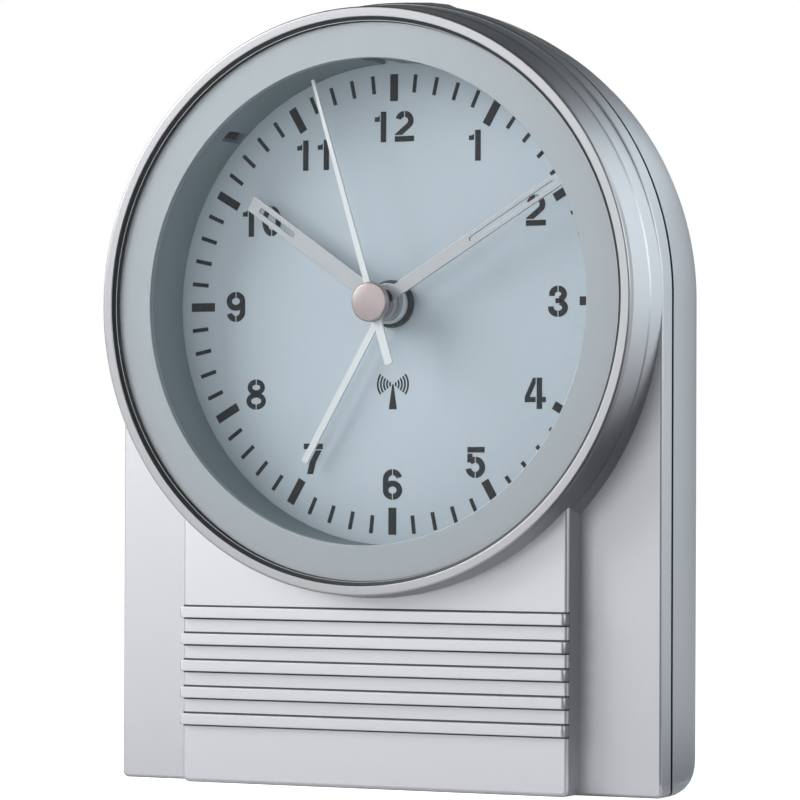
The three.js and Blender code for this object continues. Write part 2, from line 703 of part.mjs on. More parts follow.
// Rear housing: a rounded shell with the battery bay, screw wells, posts and openings
const cellAxisY = backFace - DOOR_THICKNESS - BAY_CLEARANCE - CELL_RADIUS;
const cellAndSpring = CELL_LENGTH + CELL_NUB_LENGTH + SPRING_LENGTH;
const bayHalfLength = cellAndSpring / 2 + 2 * CONTACT_THICKNESS + BAY_CLEARANCE;
const bayLow = cellHeight - CELL_RADIUS - BAY_CLEARANCE;
const bayHigh = cellHeight + CELL_RADIUS + BAY_CLEARANCE;
const bayFloor = cellAxisY - CELL_RADIUS - BAY_CLEARANCE;
const doorHalfLength = bayHalfLength + DOOR_LEDGE;
const doorLow = bayLow - DOOR_LEDGE;
const doorHigh = bayHigh + DOOR_LEDGE;
const doorMiddle = (doorLow + doorHigh) / 2;
const doorInside = backFace - DOOR_THICKNESS;
const snoozeFront = seamRear + SNOOZE_FRONT;
const snoozeBack = snoozeFront + SNOOZE_LENGTH;
const buzzer = { x: BUZZER_X, z: DIAL_HEIGHT + BUZZER_LIFT };
const buzzerBack = backInside - FIT_GAP;
const buttonNames = ['set_button', 'reception_button', 'reset_button'];
const buttonX = (n) => BUTTON_FIRST_X + n * BUTTON_PITCH;
const buttonHole = BUTTON_RADIUS + FIT_GAP;
const alarmDistance = centreDistance(ALARM_TEETH, ALARM_PINION_TEETH);
const alarmPlace = pointAt(axis, alarmDistance, 0);
const boardBack = backInside - FLANGE_THICKNESS - FIT_GAP - BUTTON_TRAVEL - TACT_HEIGHT - FIT_GAP;
const boardFront = boardBack - BOARD_THICKNESS;
const footY = seamRear + FOOT_SETBACK;
const footPlaces = onBothSides.map(([side, sign]) => ({ side, x: sign * FOOT_X, y: footY }));
const footTop = FOOT_THICKNESS + SEAT_GAP;

// The rounded skin, a quarter ellipse from the seam to the back, drawn in by a wall thickness
function rearSkin(wall, startBefore) {
  const loops = quarterTurn(SKIN_STEPS).map((turn) => {
    const roundIn = REAR_INSET * (1 - Math.cos(turn));
    const y = seamRear + (rearDepth - Math.max(wall, 0)) * Math.sin(turn);
    return archLoop(wall + roundIn, y, CASE_CORNER_RADIUS + roundIn);
  });
  const start = archLoop(wall, seamRear - startBefore);
  return loft(startBefore > 0 ? [start, ...loops] : loops);
}

function locatingLip() {
  const inner = CASE_WALL + SEAT_GAP + LIP_WALL;
  const back = seamRear + LIP_ROOT;
  const front = seamFront - LIP_REACH;
  const nose = loft([archLoop(CASE_WALL + SEAT_GAP, front), archLoop(CASE_WALL + SEAT_GAP, back)]);
  const root = loft([archLoop(CASE_WALL / 2, seamRear), archLoop(CASE_WALL / 2, back)]);
  const inside = loft([archLoop(inner, front - CUT_OVER), archLoop(inner, back + CUT_OVER)]);
  return cut(joined(nose, root), inside);
}

function soundSlots() {
  const slots = [];
  const shape = roundedRectangle(SOUND_SLOT_LENGTH / 2, SOUND_SLOT_WIDTH / 2, SOUND_SLOT_CORNER);
  for (let n = 0; n < SOUND_SLOT_COUNT; n += 1) {
    const z = buzzer.z + (n - (SOUND_SLOT_COUNT - 1) / 2) * SOUND_SLOT_PITCH;
    slots.push(plate(shape, backInside - CUT_OVER, backFace + CUT_OVER, { x: buzzer.x, z }));
  }
  return slots;
}

function rearHousing() {
  const postFront = coverBack + SEAT_GAP;
  const inWall = backInside + CASE_WALL / 2;
  const added = [locatingLip()];
  const removed = [];
  added.push(block(
    [-bayHalfLength - BAY_WALL, bayFloor - BAY_WALL, bayLow - BAY_WALL],
    [bayHalfLength + BAY_WALL, inWall, bayTop],
  ));
  removed.push(block([-bayHalfLength, bayFloor, bayLow], [bayHalfLength, backFace + CUT_OVER, bayHigh]));
  const seatCorner = DOOR_CORNER + FIT_GAP;
  const doorSeat = roundedRectangle(doorHalfLength + FIT_GAP, doorHigh - doorMiddle + FIT_GAP, seatCorner);
  removed.push(plate(doorSeat, doorInside - SEAT_GAP, backFace + CUT_OVER, { z: doorMiddle }));
  removed.push(rod(THUMB_NOTCH_RADIUS, backFace - THUMB_NOTCH_DEPTH, backFace + CUT_OVER, 0, doorHigh));
  for (const { x, z } of screwPlaces) {
    added.push(rod(wellOuter, wellFloorFront, inWall, x, z));
    removed.push(rod(wellRadius, wellFloorBack, backFace + CUT_OVER, x, z));
    removed.push(rod(SCREW_RADIUS + FIT_GAP, wellFloorFront - CUT_OVER, backFace, x, z, TINY_ROUND));
  }
  for (const [, sign] of onBothSides) {
    for (const lift of [-POST_OFFSET, POST_OFFSET]) {
      added.push(rod(POST_RADIUS, postFront, inWall, sign * POST_OFFSET, DIAL_HEIGHT + lift, TINY_ROUND));
    }
    const boardPost = sign * (BOARD_HALF_WIDTH - BOARD_POST_INSET);
    added.push(rod(BOARD_POST_RADIUS, boardBack + SEAT_GAP, inWall, boardPost, controlHeight, TINY_ROUND));
  }
  const ringInner = BUZZER_RADIUS + FIT_GAP;
  const ringFrontY = buzzerBack - BUZZER_THICKNESS;
  added.push(tube(ringInner, ringInner + BUZZER_WALL, ringFrontY, inWall, buzzer.x, buzzer.z));
  for (const { x, y } of footPlaces) {
    const radius = FOOT_RADIUS + FOOT_BOSS_WALL;
    added.push(crossRod(radius, footTop, footTop + FOOT_BOSS_HEIGHT, 'z', { x, y }));
    removed.push(crossRod(FOOT_RADIUS + FIT_GAP, -CUT_OVER, footTop, 'z', { x, y }));
  }
  removed.push(...soundSlots());
  buttonNames.forEach((_, n) => {
    removed.push(rod(buttonHole, backInside - CUT_OVER, backFace + CUT_OVER, buttonX(n), controlHeight));
  });
  const slotReach = SLIDER_WIDTH / 2 + FIT_GAP;
  const slotHalfHeight = SLIDER_HEIGHT / 2 + FIT_GAP;
  removed.push(block(
    [SLIDER_X - slotReach, backInside - CUT_OVER, controlHeight - slotHalfHeight],
    [SLIDER_X + slotReach + SLIDER_TRAVEL, backFace + CUT_OVER, controlHeight + slotHalfHeight],
  ));
  const shaftHole = ALARM_SHAFT_RADIUS + FIT_GAP;
  removed.push(rod(shaftHole, backInside - CUT_OVER, backFace + CUT_OVER, alarmPlace.x, alarmPlace.z));
  removed.push(block(
    [-SNOOZE_HALF_WIDTH - FIT_GAP, snoozeFront - FIT_GAP, crown - REAR_INSET - 2 * CASE_WALL],
    [SNOOZE_HALF_WIDTH + FIT_GAP, snoozeBack + FIT_GAP, crown + CUT_OVER],
  ));
  const shell = cut(rearSkin(0, 0), rearSkin(CASE_WALL, CUT_OVER));
  return cut(joined(shell, ...added), ...removed);
}

// Battery door with its grip bars, the cell, its contacts and spring
function batteryDoor() {
  const shape = roundedRectangle(doorHalfLength, doorHigh - doorMiddle, DOOR_CORNER);
  const bars = [];
  for (let n = 0; n < DOOR_GRIP_COUNT; n += 1) {
    const z = doorHigh - THUMB_NOTCH_RADIUS - n * DOOR_GRIP_PITCH;
    bars.push(block(
      [-DOOR_GRIP_LENGTH / 2, backFace - DOOR_THICKNESS / 2, z - DOOR_GRIP_WIDTH / 2],
      [DOOR_GRIP_LENGTH / 2, backFace + DOOR_GRIP_PROUD, z + DOOR_GRIP_WIDTH / 2],
    ));
  }
  return joined(plate(shape, doorInside, backFace, { z: doorMiddle }), ...bars);
}

const plateX = bayHalfLength - SEAT_GAP; // outer face of each contact plate
const cellEnd = plateX - CONTACT_THICKNESS - SEAT_GAP; // tip of the cell's nub
const cellShoulder = cellEnd - CELL_NUB_LENGTH;
const cellTail = cellShoulder - CELL_LENGTH;

function batteryCell() {
  const centre = { y: cellAxisY, z: cellHeight };
  return joined(
    crossRod(CELL_RADIUS, cellTail, cellShoulder, 'x', centre),
    crossRod(CELL_NUB_RADIUS, cellShoulder - CELL_NUB_LENGTH, cellEnd, 'x', centre, TINY_ROUND),
  );
}

function contactPlate(sign) {
  const reach = CELL_RADIUS - BAY_CLEARANCE;
  const [near, far] = [sign * plateX, sign * (plateX - CONTACT_THICKNESS)].sort((a, b) => a - b);
  return block(
    [near, cellAxisY - reach, cellHeight - reach],
    [far, cellAxisY + reach, cellHeight + reach],
  );
}

// One unbroken conical spring between the contact plate and the cell's flat end
function batterySpring() {
  const start = -plateX + CONTACT_THICKNESS + SEAT_GAP + SPRING_WIRE;
  const end = cellTail - SEAT_GAP - SPRING_WIRE;
  const steps = Math.round(SPRING_TURNS * 8);
  const points = [];
  for (let n = 0; n <= steps; n += 1) {
    const share = n / steps;
    const turn = share * SPRING_TURNS * 2 * Math.PI;
    const radius = SPRING_BASE_RADIUS + (SPRING_TOP_RADIUS - SPRING_BASE_RADIUS) * share;
    points.push(new THREE.Vector3(
      start + (end - start) * share,
      cellAxisY + radius * Math.cos(turn),
      cellHeight + radius * Math.sin(turn),
    ));
  }
  const wire = new THREE.Shape().absarc(0, 0, SPRING_WIRE, 0, 2 * Math.PI);
  const path = new THREE.CatmullRomCurve3(points);
  return solid(new THREE.ExtrudeGeometry(wire, {
    steps,
    curveSegments: TINY_ROUND / 2,
    extrudePath: path,
    bevelEnabled: false,
  }));
}

// Snooze button: its top follows the rounded crown; a flange under the wall keeps it in
const flangeTop = crown - SNOOZE_FLANGE_DROP;
const flangeBottom = flangeTop - FLANGE_THICKNESS;
const boxTop = DIAL_HEIGHT + PLATE_HALF;
const switchTop = boxTop + SEAT_GAP + SWITCH_HEIGHT;
const snoozeMiddle = (snoozeFront + snoozeBack) / 2;

function snoozeButton() {
  const column = block(
    [-SNOOZE_HALF_WIDTH, snoozeFront, flangeTop - FLANGE_THICKNESS / 2],
    [SNOOZE_HALF_WIDTH, snoozeBack, crown + 2 * SNOOZE_RISE],
  );
  const flange = block(
    [-SNOOZE_HALF_WIDTH - SNOOZE_FLANGE, snoozeFront - FIT_GAP, flangeBottom],
    [SNOOZE_HALF_WIDTH + SNOOZE_FLANGE, snoozeBack + FIT_GAP, flangeTop],
  );
  const stemBottom = switchTop + SNOOZE_TRAVEL + FIT_GAP;
  const stem = crossRod(SNOOZE_STEM_RADIUS, stemBottom, flangeTop, 'z', { y: snoozeMiddle }, TINY_ROUND);
  return joined(column.intersect(rearSkin(-SNOOZE_RISE, 0)), flange, stem);
}

function snoozeSwitch() {
  const base = boxTop + SEAT_GAP;
  return block(
    [-SWITCH_WIDTH / 2, snoozeMiddle - SWITCH_DEPTH / 2, base],
    [SWITCH_WIDTH / 2, snoozeMiddle + SWITCH_DEPTH / 2, switchTop],
  );
}

// Small push buttons and the alarm slide switch on the back
const controlFlangeBack = backInside - FIT_GAP;
const controlFlangeFront = controlFlangeBack - FLANGE_THICKNESS;

function pushButton(x) {
  return joined(
    rod(BUTTON_RADIUS, controlFlangeFront, backFace + BUTTON_PROUD, x, controlHeight),
    rod(BUTTON_RADIUS + BUTTON_FLANGE, controlFlangeFront, controlFlangeBack, x, controlHeight),
  );
}

function alarmSlider() {
  const [w, h] = [SLIDER_WIDTH / 2, SLIDER_HEIGHT / 2];
  const reach = SLIDER_TRAVEL + SLIDER_FLANGE;
  return joined(
    block(
      [SLIDER_X - w, controlFlangeFront, controlHeight - h],
      [SLIDER_X + w, backFace + SLIDER_PROUD, controlHeight + h],
    ),
    block(
      [SLIDER_X - w - SLIDER_FLANGE, controlFlangeFront, controlHeight - h - FLANGE_THICKNESS],
      [SLIDER_X + w + reach, controlFlangeBack, controlHeight + h + FLANGE_THICKNESS],
    ),
  );
}

function alarmSwitchBody() {
  const [w, h] = [SLIDER_WIDTH / 2 + SLIDER_TRAVEL, SLIDER_HEIGHT / 2];
  return block(
    [SLIDER_X - w, boardBack + SEAT_GAP, controlHeight - h],
    [SLIDER_X + w, controlFlangeFront - SEAT_GAP, controlHeight + h],
  );
}

function circuitBoard() {
  const shape = roundedRectangle(BOARD_HALF_WIDTH, BOARD_HALF_HEIGHT, BOARD_CORNER);
  const pads = buttonNames.map((_, n) => block(
    [buttonX(n) - TACT_SIZE / 2, boardBack - BOARD_THICKNESS / 2, controlHeight - TACT_SIZE / 2],
    [buttonX(n) + TACT_SIZE / 2, boardBack + TACT_HEIGHT, controlHeight + TACT_SIZE / 2],
  ));
  return joined(plate(shape, boardFront, boardBack, { z: controlHeight }), ...pads);
}

// Aerial: a ferrite rod with its coil, held by two clips that stand on the battery bay
const aerial = { y: boardFront - AERIAL_GAP - clipReach, z: controlHeight };

function aerialRod() {
  return crossRod(AERIAL_RADIUS, -AERIAL_HALF_LENGTH, AERIAL_HALF_LENGTH, 'x', aerial);
}

function aerialCoil() {
  const half = AERIAL_COIL_LENGTH / 2;
  const inner = AERIAL_RADIUS + SEAT_GAP;
  const outer = crossRod(inner + AERIAL_COIL_WALL, -half, half, 'x', aerial);
  return cut(outer, crossRod(inner, -half - CUT_OVER, half + CUT_OVER, 'x', aerial));
}

function aerialClip(sign) {
  const middle = sign * CLIP_X;
  const body = block(
    [middle - CLIP_WIDTH / 2, aerial.y - clipReach, bayTop + SEAT_GAP],
    [middle + CLIP_WIDTH / 2, aerial.y + clipReach, aerial.z + clipReach],
  );
  const hole = crossRod(AERIAL_RADIUS + SEAT_GAP, middle - CLIP_WIDTH, middle + CLIP_WIDTH, 'x', aerial);
  return cut(body, hole);
}

// Movement: layers counted from the front plate
const LAYER = { alarm: 0, hour: 1, cannon: 2, minute: 3, second: 4, transfer: 5 };
const motionPlace = pointAt(
  axis,
  centreDistance(CANNON_TEETH, MOTION_WHEEL_TEETH),
  -Math.PI / 2,
);
const transferDistance = centreDistance(DRIVEN_TEETH, TRANSFER_PINION_TEETH);
const rotorDistance = centreDistance(TRANSFER_TEETH, ROTOR_TEETH);
const trains = {
  second: { layer: LAYER.second, direction: Math.PI },
  minute: { layer: LAYER.minute, direction: Math.PI / 3 },
};
for (const train of Object.values(trains)) {
  train.transfer = pointAt(axis, transferDistance, train.direction);
  train.rotor = pointAt(train.transfer, rotorDistance, train.direction);
}
const arborFront = plateFront + SEAT_GAP;
const arborBack = coverBack - SEAT_GAP;
const trainPlaces = Object.values(trains).flatMap(({ transfer, rotor: place }) => [transfer, place]);
const pivotPlaces = [motionPlace, ...trainPlaces];

function pivotHoles(front, back) {
  const hole = ARBOR_RADIUS + PIVOT_GAP;
  const [start, end] = [front - CUT_OVER, back + CUT_OVER];
  const holes = pivotPlaces.map(({ x, z }) => rod(hole, start, end, x, z, TINY_ROUND));
  const shaft = ALARM_SHAFT_RADIUS + PIVOT_GAP;
  holes.push(rod(shaft, start, end, alarmPlace.x, alarmPlace.z));
  return holes;
}

function movementBase() {
  const shape = roundedRectangle(PLATE_HALF, PLATE_HALF, PLATE_CORNER);
  const bush = rod(bushOuter, bushFront, plateBack);
  const base = joined(plate(shape, plateFront, plateBack, { z: DIAL_HEIGHT }), bush);
  const passage = rod(bushInner, bushFront - CUT_OVER, plateBack + CUT_OVER);
  return cut(base, passage, ...pivotHoles(plateFront, plateBack));
}

function movementCover() {
  const outside = roundedRectangle(PLATE_HALF, PLATE_HALF, PLATE_CORNER);
  const insideHalf = PLATE_HALF - COVER_WALL;
  const inside = roundedRectangle(insideHalf, insideHalf, PLATE_CORNER - COVER_WALL);
  const body = plate(outside, plateBack + SEAT_GAP, coverBack, { z: DIAL_HEIGHT });
  const space = plate(inside, plateBack - CUT_OVER, coverFront, { z: DIAL_HEIGHT });
  const arborHole = rod(SECOND_ARBOR_RADIUS + PIVOT_GAP, coverFront - CUT_OVER, coverBack + CUT_OVER);
  return cut(body, space, arborHole, ...pivotHoles(coverFront, coverBack));
}

function hubRing() {
  const inner = bushOuter + SEAT_GAP;
  return tube(inner, inner + HUB_RING_WALL, bushFront - SEAT_GAP / 2, dialFace - SEAT_GAP);
}

function secondWheel() {
  return joined(
    rod(SECOND_ARBOR_RADIUS, secondHubFront, arborBack, 0, DIAL_HEIGHT, TINY_ROUND),
    gear(DRIVEN_TEETH, LAYER.second, axis, trains.second.direction),
  );
}

function minuteWheel() {
  const bore = minutePipeInner;
  const cannon = gear(CANNON_TEETH, LAYER.cannon, axis, -Math.PI / 2, bore);
  const sleeve = tube(bore, minutePipeOuter, minuteHubFront, layerBack(LAYER.minute));
  return joined(
    sleeve,
    cannon,
    gear(DRIVEN_TEETH, LAYER.minute, axis, trains.minute.direction, bore),
  );
}

function hourWheel() {
  return joined(
    tube(hourPipeInner, hourPipeOuter, hourHubFront, layerBack(LAYER.hour)),
    gear(HOUR_TEETH, LAYER.hour, axis, -Math.PI / 2, hourPipeOuter - PIPE_WALL / 2),
  );
}

function alarmWheel() {
  return joined(
    tube(alarmPipeInner, alarmPipeOuter, alarmHubFront, layerBack(LAYER.alarm)),
    gear(ALARM_TEETH, LAYER.alarm, axis, 0, alarmPipeOuter - PIPE_WALL / 2),
  );
}

function motionWheel() {
  const pinionTooth = meshAngle(-Math.PI / 2, MOTION_PINION_TEETH);
  const wheelTooth = meshAngle(-Math.PI / 2, MOTION_WHEEL_TEETH);
  return joined(
    rod(ARBOR_RADIUS, arborFront, arborBack, motionPlace.x, motionPlace.z, TINY_ROUND),
    gear(MOTION_PINION_TEETH, LAYER.hour, motionPlace, pinionTooth),
    gear(MOTION_WHEEL_TEETH, LAYER.cannon, motionPlace, wheelTooth),
  );
}

function transferWheel({ layer, direction, transfer }) {
  const pinionTooth = meshAngle(direction, TRANSFER_PINION_TEETH);
  return joined(
    rod(ARBOR_RADIUS, arborFront, arborBack, transfer.x, transfer.z, TINY_ROUND),
    gear(TRANSFER_PINION_TEETH, layer, transfer, pinionTooth),
    gear(TRANSFER_TEETH, LAYER.transfer, transfer, direction),
  );
}

const statorFront = layerFront(LAYER.minute) + WHEEL_GAP;
const statorBack = statorFront + STATOR_THICKNESS;
const statorMiddle = (statorFront + statorBack) / 2;

function rotor({ direction, rotor: place }) {
  const front = statorMiddle - MAGNET_LENGTH / 2;
  return joined(
    rod(ARBOR_RADIUS, arborFront, arborBack, place.x, place.z, TINY_ROUND),
    rod(MAGNET_RADIUS, front, front + MAGNET_LENGTH, place.x, place.z),
    gear(ROTOR_TEETH, LAYER.transfer, place, meshAngle(direction, ROTOR_TEETH)),
  );
}

// A U-shaped stator: the rotor turns in its cross bar and the coil sits between its legs.
// The legs point away from the dial axis, straight up or straight to the left.
function statorTurn(train) {
  return train === trains.second ? -90 : 0;
}

function stator(train) {
  const [half, width] = [STATOR_LENGTH / 2, STATOR_WIDTH / 2];
  const legTop = COIL_OFFSET + COIL_RADIUS;
  const shape = new THREE.Shape();
  shape.moveTo(-half, -width);
  shape.lineTo(half, -width);
  shape.lineTo(half, legTop);
  shape.lineTo(half - STATOR_LEG, legTop);
  shape.lineTo(half - STATOR_LEG, width);
  shape.lineTo(-half + STATOR_LEG, width);
  shape.lineTo(-half + STATOR_LEG, legTop);
  shape.lineTo(-half, legTop);
  shape.closePath();
  const hole = new THREE.Path().absarc(0, 0, MAGNET_RADIUS + STATOR_AIR_GAP, 0, 2 * Math.PI);
  shape.holes.push(hole);
  const place = { angle: statorTurn(train), ...train.rotor };
  return plate(shape, statorFront, statorBack, { ...place, arcSteps: SMALL_ROUND });
}

function coil(train) {
  const half = COIL_LENGTH / 2;
  const { x, z } = train.rotor;
  if (statorTurn(train) === 0) {
    return crossRod(COIL_RADIUS, x - half, x + half, 'x', { y: statorMiddle, z: z + COIL_OFFSET });
  }
  return crossRod(COIL_RADIUS, z - half, z + half, 'z', { x: x - COIL_OFFSET, y: statorMiddle });
}

function alarmKnob() {
  const { x, z } = alarmPlace;
  const knobFront = backFace + FIT_GAP;
  const outline = new THREE.Shape();
  const points = [];
  const steps = KNOB_FLUTES * 2;
  for (let n = 0; n < steps; n += 1) {
    const radius = KNOB_RADIUS - (n % 2) * KNOB_FLUTE_DEPTH;
    const angle = (n / steps) * 2 * Math.PI;
    points.push(new THREE.Vector2(radius * Math.cos(angle), radius * Math.sin(angle)));
  }
  outline.setFromPoints(points);
  return joined(
    rod(ALARM_SHAFT_RADIUS, arborFront, knobFront + KNOB_LENGTH / 2, x, z),
    gear(ALARM_PINION_TEETH, LAYER.alarm, alarmPlace, meshAngle(0, ALARM_PINION_TEETH)),
    plate(outline, knobFront, knobFront + KNOB_LENGTH, alarmPlace),
  );
}

// Hands: a hub with a blade on its front face, drawn pointing to 12 and turned to its rest angle
function hand(blade, hub) {
  const { angle, radius, bore, front, back } = hub;
  const place = { angle, z: DIAL_HEIGHT };
  const body = joined(plate(blade, front, front + HAND_THICKNESS, place), rod(radius, front, back));
  return cut(body, rod(bore + HUB_FIT, front - CUT_OVER, back + CUT_OVER, 0, DIAL_HEIGHT, SMALL_ROUND));
}

function bladeShape({ rootWidth, tipWidth = rootWidth, length, tail = 0, tailWidth = rootWidth }) {
  const shape = new THREE.Shape();
  shape.moveTo(-tailWidth / 2, -tail);
  shape.lineTo(tailWidth / 2, -tail);
  shape.lineTo(rootWidth / 2, 0);
  shape.lineTo(tipWidth / 2, length);
  shape.lineTo(-tipWidth / 2, length);
  shape.lineTo(-rootWidth / 2, 0);
  shape.closePath();
  return shape;
}

function slottedBlade(width, length, slotLength) {
  const shape = bladeShape({ rootWidth: width, length });
  const half = HAND_SLOT_WIDTH / 2;
  const high = length - HAND_SLOT_END - half;
  const low = length - HAND_SLOT_END - slotLength + half;
  const slot = new THREE.Path();
  slot.absarc(0, high, half, 0, Math.PI);
  slot.absarc(0, low, half, Math.PI, 2 * Math.PI);
  slot.closePath();
  shape.holes.push(slot);
  return shape;
}

function hourHand() {
  return hand(slottedBlade(HOUR_WIDTH, HOUR_LENGTH, HOUR_SLOT_LENGTH), {
    angle: HOUR_ANGLE,
    radius: HOUR_HUB_RADIUS,
    bore: hourPipeOuter,
    front: hourHubFront,
    back: hourHubBack,
  });
}

function minuteHand() {
  return hand(slottedBlade(MINUTE_WIDTH, MINUTE_LENGTH, MINUTE_SLOT_LENGTH), {
    angle: MINUTE_ANGLE,
    radius: MINUTE_HUB_RADIUS,
    bore: minutePipeOuter,
    front: minuteHubFront,
    back: minuteHubBack,
  });
}

function secondHand() {
  const blade = bladeShape({
    rootWidth: SECOND_ROOT_WIDTH,
    tipWidth: SECOND_TIP_WIDTH,
    length: SECOND_LENGTH,
    tail: SECOND_TAIL,
    tailWidth: SECOND_TAIL_WIDTH,
  });
  return hand(blade, {
    angle: SECOND_ANGLE,
    radius: SECOND_HUB_RADIUS,
    bore: SECOND_ARBOR_RADIUS,
    front: secondHubFront,
    back: secondHubBack,
  });
}

function alarmHand() {
  return hand(bladeShape({ rootWidth: ALARM_WIDTH, length: ALARM_LENGTH }), {
    angle: ALARM_ANGLE,
    radius: ALARM_HUB_RADIUS,
    bore: alarmPipeOuter,
    front: alarmHubFront,
    back: alarmHubBack,
  });
}

function handCap() {
  return turned([
    [0, capFront],
    [CAP_RADIUS - CAP_EDGE, capFront],
    [CAP_RADIUS, capFront + CAP_EDGE],
    [CAP_RADIUS, capBack],
    [0, capBack],
  ], 0, DIAL_HEIGHT, SMALL_ROUND);
}

function caseScrew({ x, z }) {
  return joined(
    rod(SCREW_RADIUS, screwTip, headFront + SCREW_HEAD_LENGTH / 2, x, z, TINY_ROUND),
    rod(SCREW_HEAD_RADIUS, headFront, headFront + SCREW_HEAD_LENGTH, x, z),
  );
}

// Assembly
addNode('front_housing', frontHousing(), silverPaint);
addNode('rear_housing', rearHousing(), silverPaint);
addNode('bezel_ring', bezelRing(), polishedSilver);
addNode('crystal', crystal(), clearAcrylic);
addNode('dial_ring', dialRing(), ringSilver);
addNode('dial_wall', dialWall(), slatePlastic);
addNode('dial_plate', dialPlate(), dialPaint);
addNode('dial_lamp', dialLamp(), lampClear);
addNode('hour_hand', hourHand(), handSilver);
addNode('minute_hand', minuteHand(), handSilver);
addNode('second_hand', secondHand(), handSilver);
addNode('alarm_hand', alarmHand(), handSilver);
addNode('hand_cap', handCap(), capNickel);
addNode('hub_ring', hubRing(), blackPlastic);
addNode('movement_base', movementBase(), whitePlastic);
addNode('movement_cover', movementCover(), whitePlastic);
addNode('second_wheel', secondWheel(), whitePlastic);
addNode('minute_wheel', minuteWheel(), whitePlastic);
addNode('hour_wheel', hourWheel(), whitePlastic);
addNode('alarm_wheel', alarmWheel(), whitePlastic);
addNode('motion_wheel', motionWheel(), whitePlastic);
for (const [name, train] of Object.entries(trains)) {
  addNode(`${name}_transfer_wheel`, transferWheel(train), whitePlastic);
  addNode(`${name}_rotor`, rotor(train), darkPlastic);
  addNode(`${name}_stator`, stator(train), steel);
  addNode(`${name}_coil`, coil(train), copper);
}
addNode('alarm_knob', alarmKnob(), darkPlastic);
addNode('snooze_button', snoozeButton(), darkPlastic);
addNode('snooze_switch', snoozeSwitch(), blackPlastic);
buttonNames.forEach((name, n) => addNode(name, pushButton(buttonX(n)), darkPlastic));
addNode('alarm_slider', alarmSlider(), darkPlastic);
addNode('alarm_switch_body', alarmSwitchBody(), blackPlastic);
addNode('circuit_board', circuitBoard(), boardGreen);
addNode('aerial_rod', aerialRod(), ferrite);
addNode('aerial_coil', aerialCoil(), copper);
for (const [side, sign] of onBothSides) addNode(`aerial_clip_${side}`, aerialClip(sign), whitePlastic);
const buzzerFront = buzzerBack - BUZZER_THICKNESS;
addNode('buzzer', rod(BUZZER_RADIUS, buzzerFront, buzzerBack, buzzer.x, buzzer.z), brass);
addNode('battery_cell', batteryCell(), cellWrap);
addNode('battery_door', batteryDoor(), silverPaint);
addNode('contact_positive', contactPlate(1), steel);
addNode('contact_negative', contactPlate(-1), steel);
addNode('battery_spring', batterySpring(), steel);
for (const place of screwPlaces) addNode(place.name, caseScrew(place), steel);
for (const { side, x, y } of footPlaces) {
  addNode(`foot_${side}`, crossRod(FOOT_RADIUS, 0, FOOT_THICKNESS, 'z', { x, y }), footRubber);
}

// The origin lies under the middle of the clock's depth
const frontMost = bezelFront;
const rearMost = backFace + FIT_GAP + KNOB_LENGTH;
clock.position.y = -(frontMost + rearMost) / 2;

export default clock;
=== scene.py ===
# %% [markdown]
# # Dressing a bedside radio alarm clock
# The clock is a silver plastic case with a deep round dial in front and a ribbed plinth under it.
# A CAD model already holds every piece at its real size, with the joints that move the hands, the
# knob, the buttons and the battery door. Blender adds what the eye reads first: soft edges, printed
# figures and finishes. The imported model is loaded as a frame, and each new piece is set against it.

# %% Load the frame
import json
import math

import bmesh
import bpy
from mathutils import Matrix, Vector


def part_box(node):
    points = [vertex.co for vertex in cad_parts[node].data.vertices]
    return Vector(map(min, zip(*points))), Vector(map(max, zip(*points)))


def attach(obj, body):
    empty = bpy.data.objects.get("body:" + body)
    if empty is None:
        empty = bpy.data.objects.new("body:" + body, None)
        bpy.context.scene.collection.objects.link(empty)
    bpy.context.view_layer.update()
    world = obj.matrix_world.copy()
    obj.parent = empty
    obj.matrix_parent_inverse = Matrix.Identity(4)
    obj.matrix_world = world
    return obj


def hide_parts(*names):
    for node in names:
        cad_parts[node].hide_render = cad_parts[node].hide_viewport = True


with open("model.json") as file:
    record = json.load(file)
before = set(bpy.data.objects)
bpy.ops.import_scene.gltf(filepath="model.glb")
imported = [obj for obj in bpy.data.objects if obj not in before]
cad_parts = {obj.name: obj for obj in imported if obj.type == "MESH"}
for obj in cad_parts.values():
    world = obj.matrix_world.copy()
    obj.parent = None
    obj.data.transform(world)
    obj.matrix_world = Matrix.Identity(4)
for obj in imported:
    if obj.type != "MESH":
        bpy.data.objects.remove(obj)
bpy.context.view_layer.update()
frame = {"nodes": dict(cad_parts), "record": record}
scene = bpy.context.scene

# %% [markdown]
# ## One set of coordinates for the case
# A clockmaker measures from the flat front panel, so the pieces are modelled in millimetres with
# Y = 0 on that panel and +Y to the back. A single matrix takes a finished mesh to the frame, which
# is in metres. The main radii are read from the frame's own boxes, so the looks follow the CAD.

# %% Case coordinates
PANEL_SETBACK = 7.5  # the panel's face in front of the frame's origin, in mm
to_frame = Matrix.Translation((0, -PANEL_SETBACK / 1000, 0)) @ Matrix.Scale(0.001, 4)
to_case = to_frame.inverted()


def case_box(node):
    low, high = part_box(node)
    return to_case @ low, to_case @ high


bezel_low, bezel_high = case_box("bezel_ring")
ring_low, ring_high = case_box("dial_ring")
dial_low, dial_high = case_box("dial_plate")
front_low, front_high = case_box("front_housing")
BEZEL_RADIUS = (bezel_high.x - bezel_low.x) / 2
BEZEL_FRONT = bezel_low.y
DIAL_Z = (bezel_low.z + bezel_high.z) / 2
DIAL_FACE = dial_low.y
RING_FRONT, RING_BACK = ring_low.y, ring_high.y
RING_OUTER = (ring_high.x - ring_low.x) / 2
HAIR = 0.004  # how far the case stays inside the CAD box
CASE_HALF = front_high.x - HAIR
print(f"dial centre {DIAL_Z:.1f}, bezel radius {BEZEL_RADIUS:.2f}, case half width {CASE_HALF:.2f} mm")

